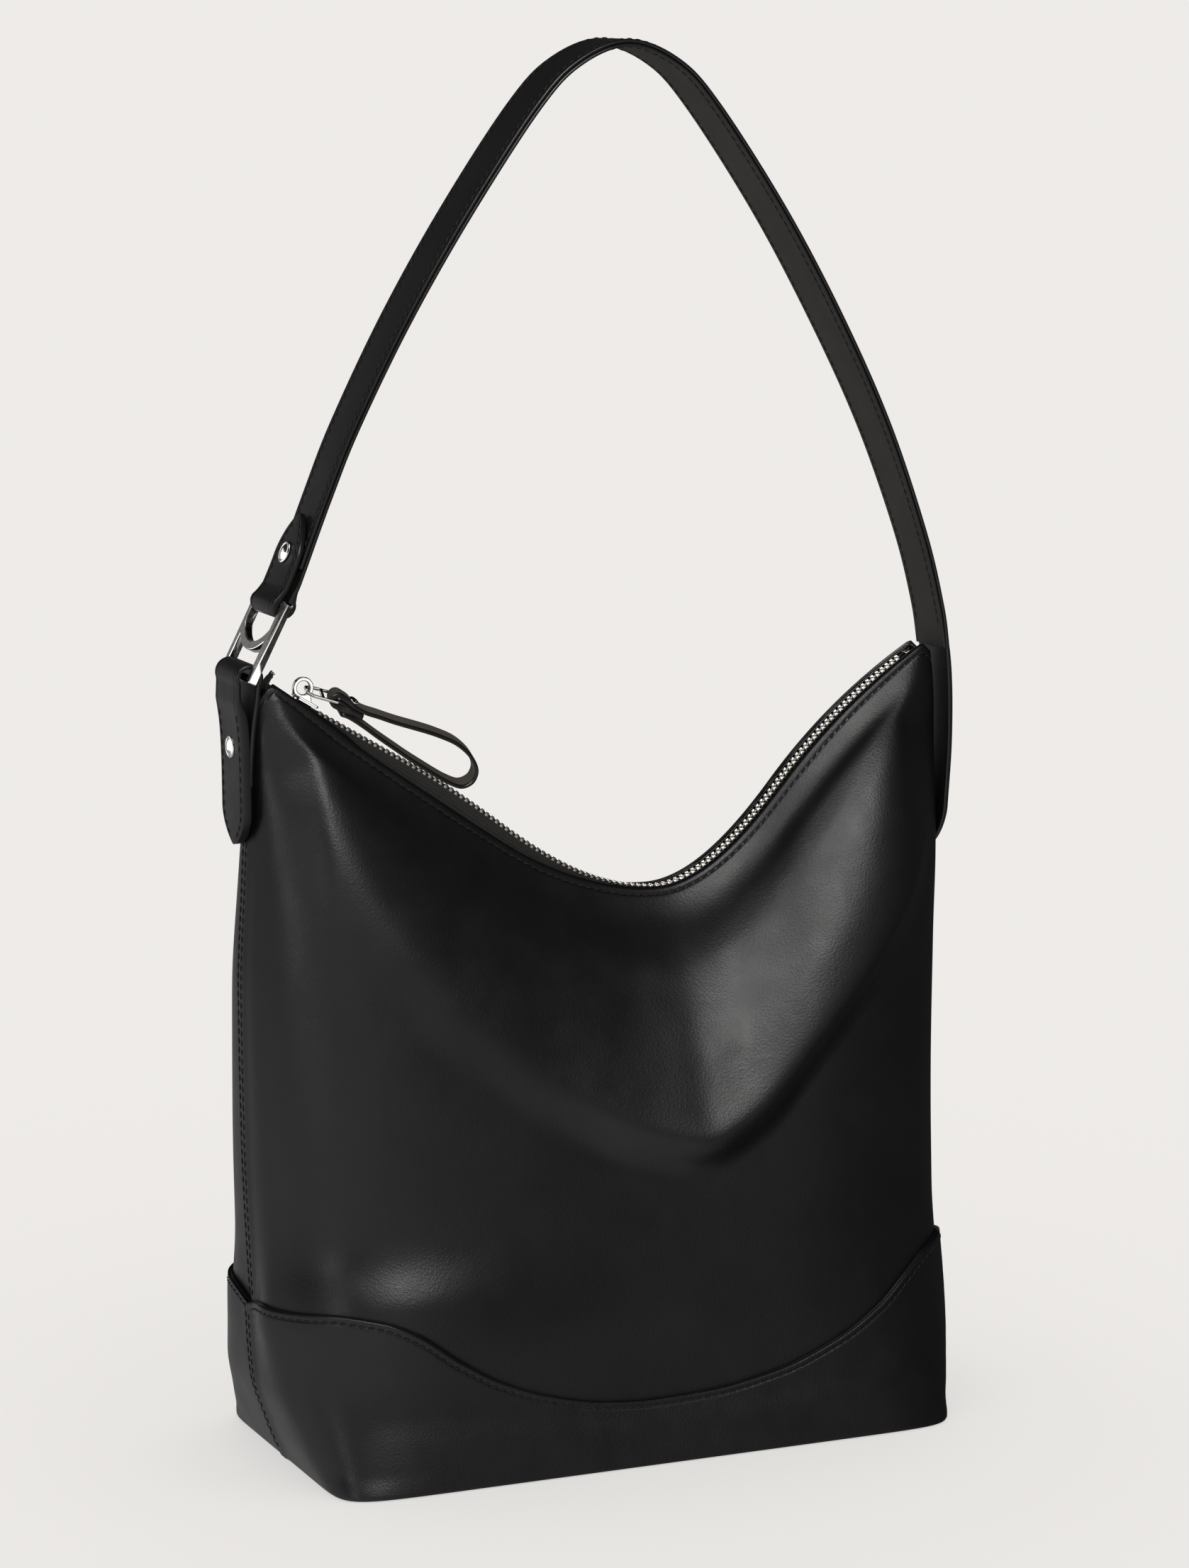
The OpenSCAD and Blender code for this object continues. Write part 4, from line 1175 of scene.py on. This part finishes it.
def leaning(degrees):
    """The direction of +Z after a turn about Y."""
    a = math.radians(degrees)
    return (math.sin(a), 0, math.cos(a))


# A domed cap with a rim, as (radius less the cap's radius, height), over a post with a washer below
RIVET_CAP = 4.8
RIVET_DOME = [
    (-0.25, 0.05), (0, 0.3), (0, 0.75), (-0.15, 1.05), (-0.55, 1.25), (-0.95, 1.2), (-1.2, 1.05),
    (-1.5, 1.2), (-2.2, 1.65), (-3.2, 2.0), (-4.1, 2.17), (-RIVET_CAP, 2.2),
]
RIVET_POST = [(0, -1), (3.2, -1), (3.6, -0.7), (3.6, -0.2), (1.3, -0.1)]
for name, through, place, lean, body, node in (
    ("tab_rivet_cap", 9.1, (-164.2, 0, 311.5), -90, "bag", "tab_rivet"),
    ("strap_rivet_cap", 7.0, (-139.1, 0, 392), -68, "strap", "strap_rivet"),
):
    post = [(r, h - through) for r, h in RIVET_POST]
    profile = [*post, (1.3, 0.05), *((RIVET_CAP + r, h) for r, h in RIVET_DOME)]
    metal(name, [at(lathe(profile, 64), place, (0, 1, 0), leaning(lean))], body, node)
PULL_RIVET = [
    (0, 0.35), (2.1, 0.35), (2.35, 0.5), (2.4, 0.8), (2.2, 1.05), (1.8, 1.12), (1.5, 1.05), (1.1, 1.25),
    (0.5, 1.38), (0, 1.4),
]
pull_up = leaning(34)
metal("pull_rivet_cap", [at(lathe(PULL_RIVET), (-109.75, 0, 327.15), (0, 1, 0),
                            (pull_up[0] * 0.9, -0.44, pull_up[2] * 0.9))], "pull", "pull_rivet")

# Strap ring: an H-shaped frame with a U-shaped upper opening and a curved cross bar
RING_HALF, RING_ARM, RING_THICKNESS = 18.5, 3.7, 3.8
RING_OPENING = RING_HALF - RING_ARM
RING_REACH = float(np.linalg.norm(UPPER_BAR - LOWER_BAR))
CROSS_LOW, CROSS_WIDTH, CROSS_BEND = 11.2, 3.9, 19
BAR = [(0, -18), (1.45, -18), (RING_BAR, -17.75), (RING_BAR, 17.75), (1.45, 18), (0, 18)]
ring_way = (UPPER_BAR - LOWER_BAR) / RING_REACH
span = np.linspace(-RING_OPENING, RING_OPENING, 41)


def cross_edge(r):
    """One edge of the ring's cross bar, whose both edges are round the same centre."""
    return columns(span, CROSS_LOW + CROSS_WIDTH + CROSS_BEND - np.sqrt(r * r - span * span))


lower_curve, upper_curve = cross_edge(CROSS_BEND + CROSS_WIDTH), cross_edge(CROSS_BEND)[::-1]
low, high = -RING_BAR, RING_REACH + RING_BAR
ring_outline = join(
    rounded([[-RING_HALF, high], [-RING_HALF, low], [-RING_OPENING, low], lower_curve[0], lower_curve[1]],
            [0, 0.8, 0.5, 0, 0])[:-2],
    lower_curve,
    rounded([lower_curve[-1], [RING_OPENING, low], [RING_HALF, low], [RING_HALF, high],
             [RING_OPENING, high], upper_curve[0]], [0, 0.5, 0.8, 0.8, 0.5, 0])[1:-1],
    upper_curve,
    rounded([upper_curve[-1], [-RING_OPENING, high], [-RING_HALF, high], [-RING_HALF, low]],
            [0, 0.5, 0.8, 0])[1:-1]
)
apart = np.linalg.norm(ring_outline - np.roll(ring_outline, 1, axis=0), axis=1) > 1e-4
metal("strap_ring_frame", [
    at(plate([ring_outline[apart]], RING_THICKNESS, 0.42), xz(LOWER_BAR),
       (0, 1, 0), (ring_way[1], 0, -ring_way[0])),
    *(at(lathe(BAR, 32), xz(bar), (1, 0, 0), (0, 1, 0)) for bar in (LOWER_BAR, UPPER_BAR)),
], "ring", "strap_ring")

# Slider, in a frame whose X runs down the zip and whose Z stands off it
SLIDER_X, SLIDER_ANGLE = -131.5, -math.degrees(math.atan(ZIP_SLOPE))
slider_origin = (SLIDER_X, 0, float(zip_height(np.array(SLIDER_X))))
HOOP_CENTRE, HOOP_OUTER, HOOP_INNER = (-3.6, 3.85), 4.6, 2.9


def in_slider(local, centre, z_axis=(0, 0, 1)):
    local = at(local, centre, (1, 0, 0), z_axis)
    return at(local, slider_origin, leaning(90 + SLIDER_ANGLE), leaning(SLIDER_ANGLE))


slider_outline = rounded([
    [-6, -2], [-4, -3.3], [5, -3.3], [6, -2.3], [6, 2.3], [5, 3.3], [-4, 3.3], [-6, 2],
], [0.8, 1.2, 0.6, 0.5, 0.5, 0.6, 1.2, 0.8])
hoop = join(
    [[3.0, -0.3], [2.3, 1.0], [1.3, 2.2]],
    arc(HOOP_CENTRE, HOOP_OUTER, -4, 215, 44), [[-6.8, 0.4], [-6.2, -0.3]],
)
wedge = rounded([[0, -1], [1.6, -1.2], [3.4, 0], [1.6, 1.2], [0, 1]], 0.3)
rail = rounded([[-4, -0.35], [5, -0.35], [5, 0.35], [-4, 0.35]], 0.2)
metal("slider_body", [
    in_slider(plate([slider_outline], 1.0, 0.35), (0, 0, 0.25)),
    in_slider(plate([slider_outline], 1.0, 0.35), (0, 0, -3.45)),
    in_slider(plate([rail], 0.7, 0.15, 2), (0, 2.95, -0.5)),
    in_slider(plate([rail], 0.7, 0.15, 2), (0, -2.95, -0.5)),
    in_slider(plate([wedge], 4.0, 0.2, 2), (-5.4, 0, -1.6)),
    in_slider(plate([hoop, arc(HOOP_CENTRE, HOOP_INNER, 0, 351, 39)], 2.2, 0.55),
              (0, 0, 0.75), (0, -1, 0)),
], "slider", "zip_slider")

# Link: two slots, its inner bar through the hoop and its outer bar through the pull's fold
LINK_PIVOT, LINK_PITCH, LINK_LENGTH = np.array([-130.6, 333.4]), 18.0, 14.0
# The pull hangs to one side, so the link and the loop lean over towards the front
LEAN = math.radians(26)
link_way = np.array([math.cos(math.radians(LINK_PITCH)), -math.sin(math.radians(LINK_PITCH))])
LINK_END = LINK_PIVOT + LINK_LENGTH * link_way
link_outline = rounded([
    [-0.7, -2.6], [3.2, -3.9], [14.7, -4.0], [14.7, 4.0], [3.2, 3.9], [-0.7, 2.6],
], [1.2, 1.0, 0.9, 0.9, 1.0, 1.2])
inner_slot = rounded([[0.7, -1.7], [3.4, -2.8], [6.6, -3.0], [6.6, 3.0], [3.4, 2.8], [0.7, 1.7]], 0.5)
outer_slot = rounded([[7.9, -3.0], [13.3, -3.0], [13.3, 3.0], [7.9, 3.0]], 0.4)
link_up = leaning(LINK_PITCH)
metal("pull_link_plate", [
    at(plate([link_outline, inner_slot, outer_slot], 1.3, 0.35), xz(LINK_PIVOT), xz(link_way),
       (link_up[0] * math.cos(LEAN), -math.sin(LEAN), link_up[2] * math.cos(LEAN))),
], "link", "pull_link")

# Pull: a leather strip folded round the link's outer bar and closed as a teardrop
PULL_WIDTH, PULL_FOLD_WIDTH, PULL_THICKNESS = 6.6, 5.2, 1.7
PULL_TURN = 0.7 + 0.45 + 0.8
PULL_TAIL = [[-106.4, 321.8], [-110, 323.7], [-114.5, 325.8]]
PULL_LOOP = [
    [-113.1, 328.6], [-108.9, 325.7], [-104.5, 323.3], [-99, 321.3], [-90.6, 318.1], [-78, 313.9],
    [-71, 311.2], [-64, 307.8], [-58.4, 303.1], [-55.2, 298.2], [-54.6, 294.2], [-56.8, 290.4],
    [-61.6, 288.9], [-67.2, 291], [-72.2, 293.9], [-78.2, 297.8], [-85.1, 302.4], [-90.7, 306.4],
    [-99, 312.4], [-105.7, 317.5], [-111.2, 321.3], [-115.6, 323.7],
]
pull_route = Route(join(
    spline(PULL_TAIL, 8), arc(LINK_END, PULL_TURN, -117, -297, 40), spline(PULL_LOOP, 8)
), 0.7)
near_bar = np.linalg.norm(pull_route.p - LINK_END, axis=1)
pull_half = mix(PULL_FOLD_WIDTH, PULL_WIDTH, ramp(3.0, 7.5, near_bar)) / 2
tail_part = 0.35 * (1 - ramp(10, 13, pull_route.s))
puffed = 0.8 * (1 - ramp(3.5, 8, near_bar)) + tail_part
pull = Parts()
strip(pull, pull_route, pull_half, -PULL_THICKNESS / 2 - tail_part, PULL_THICKNESS / 2 + puffed, 0.7)
# The loop leans over: its front edge hangs lower than its back edge
points = pull.points[-1]
points[:, 2] += points[:, 1] * math.sin(LEAN)
points[:, 1] *= math.cos(LEAN)
pull.build("pull_loop", [PULL_LEATHER, PAINTED_EDGE], "pull", "strap_leather", ["zip_pull"])

# ---------------------------------------------------------------- stage
PALE = (0.855, 0.8388, 0.8227)
FLOOR_RADIUS, ROOM_RADIUS, FLOOR_DROP, ROUND_STEPS, ROOM_ROWS = 1.4e5, 1.5e5, 0.15, 96, 24


def glowing(name, strength, albedo):
    """A plain surface that gives off some light of its own, with a hint of unevenness."""
    t = Tree(name, {"Roughness": 1.0, "Specular IOR Level": 0.0, "Emission Strength": strength,
                    "Emission Color": (*PALE, 1)})
    t.base(t.noise(4000, 1), tuple(albedo * c for c in PALE), tuple(0.995 * albedo * c for c in PALE))
    return t.material


def disc(radius, z):
    a = circle(ROUND_STEPS)
    return columns(radius * np.cos(a), radius * np.sin(a), z)


# The floor and the pale room around it fill the background and light the bag softly. The bag's gloss
# mirrors the darker world and the softboxes instead.
floor = build("floor", disc(FLOOR_RADIUS, -FLOOR_DROP), [list(range(ROUND_STEPS))],
              [glowing("paper", 0.658, 0.40)], flat=True)
levels = np.radians(np.linspace(-8, 88, ROOM_ROWS))
shell = np.concatenate([disc(ROOM_RADIUS * math.cos(q), ROOM_RADIUS * math.sin(q)) for q in levels])
top = (ROOM_ROWS - 1) * ROUND_STEPS
ceiling = list(range(top, top + ROUND_STEPS))
room = build("room", shell, grid_faces(ROOM_ROWS, ROUND_STEPS, closed=True) + [ceiling],
             [glowing("room_paint", 1.0, 0.0)])
for surface in (floor, room):
    surface.visible_glossy = False

# What the gloss mirrors: paler towards the floor and the left, dark above. Pairs of (place, level),
# where place runs from straight down at 0 to straight up at 1.
SKY = [(0.0, 0.34), (0.40, 0.40), (0.45, 0.30), (0.48, 0.26), (0.50, 0.30), (0.53, 0.42), (0.58, 0.20),
       (0.64, 0.03), (1.0, 0.015)]
world = bpy.data.worlds.new("studio")
bpy.context.scene.world = world
world.use_nodes = True
world.cycles.sampling_method = "NONE"
tree = world.node_tree
way = add_node(tree, "TexCoord").outputs["Generated"]
way_x, way_y, way_z = add_node(tree, "SeparateXYZ", {"Vector": way}).outputs
fade = add_node(tree, "ValToRGB", {"Fac": map_range(tree, way_z, -1, 1, 0, 1)})
while len(fade.color_ramp.elements) < len(SKY):
    fade.color_ramp.elements.new(0.5)
for element, (place, level) in zip(fade.color_ramp.elements, SKY):
    element.position = place
    element.color = (level, 0.99 * level, 0.98 * level, 1)
strength = add_node(tree, "Math", {
    0: map_range(tree, way_x, 0.0, 0.62, 1.6, 0.12), 1: map_range(tree, way_y, 0.1, 0.7, 1.0, 0.55),
}, operation="MULTIPLY")
background = tree.nodes["Background"].inputs
tree.links.new(fade.outputs["Color"], background["Color"])
tree.links.new(strength.outputs["Value"], background["Strength"])

# The leather, the nickel and the teeth each have their own lights
LIT = {kind: bpy.data.collections.new(f"lit_by_{kind}_boxes") for kind in ("metal", "teeth", "leather")}
for obj in bpy.context.scene.objects:
    if obj.type == "MESH" and obj not in (floor, room):
        used = {m.name for m in obj.data.materials if m}
        kind = "teeth" if TOOTH_METAL.name in used else "metal" if NICKEL.name in used else "leather"
        LIT[kind].objects.link(obj)

# name, direction from the bag, distance, size, radiance, what it lights
SOFTBOXES = [
    ("key_box", (0.04, -0.82, 0.54), 2.0, (0.5, 0.34), 16, "leather"),
    ("key_box_middle", (-0.22, -0.68, 0.68), 2.0, (0.5, 0.34), 12, "leather"),
    ("key_box_left", (-0.50, -0.45, 0.66), 2.0, (0.4, 0.3), 8, "leather"),
    ("left_box", (-0.70, -0.66, 0.22), 2.0, (0.2, 0.5), 5, "leather"),
    ("metal_front", (0.30, -0.92, -0.05), 2.5, (1.9, 2.2), 1.4, "metal"),
    ("metal_left", (-0.97, 0.12, 0.0), 2.5, (2.6, 2.2), 1.5, "metal"),
    ("metal_behind", (-0.70, 0.75, 0.10), 2.5, (1.4, 2.0), 1.2, "metal"),
    ("metal_top", (0.0, -0.25, 1.0), 2.5, (2.4, 1.8), 1.5, "metal"),
    ("metal_right", (0.95, 0.1, 0.15), 2.5, (1.2, 2.0), 0.8, "metal"),
    ("teeth_top", (0.0, -0.1, 1.0), 2.5, (2.6, 1.6), 2.2, "teeth"),
    ("teeth_behind", (-0.13, 0.85, 0.52), 2.5, (2.4, 1.0), 2.8, "teeth"),
]
BOX_TARGET, BOX_COLOUR = Vector((0, 0, 0.2)), (1, 0.99, 0.975)
for name, direction, distance, size, radiance, kind in SOFTBOXES:
    data = bpy.data.lights.new(name, "AREA")
    data.shape = "RECTANGLE"
    data.size, data.size_y = size
    data.energy = radiance * math.pi * size[0] * size[1]
    data.color = BOX_COLOUR
    lamp = put(name, data)
    d = Vector(direction).normalized()
    lamp.location = BOX_TARGET + d * distance
    lamp.rotation_euler = d.to_track_quat("Z", "Y").to_euler()
    lamp.light_linking.receiver_collection = LIT[kind]

camera = put("camera", bpy.data.cameras.new("camera"))
camera.data.lens = 108.7
camera.data.sensor_width = 36
camera.data.sensor_fit = "AUTO"
camera.data.clip_end = 500
camera.location = (-0.8048, -1.8524, 0.6321)
camera.rotation_euler = (math.radians(90 - 9.77), 0, math.radians(-23.52))
bpy.context.scene.camera = camera
bpy.context.scene.view_settings.view_transform = "Standard"
bpy.context.scene.view_settings.look = "None"
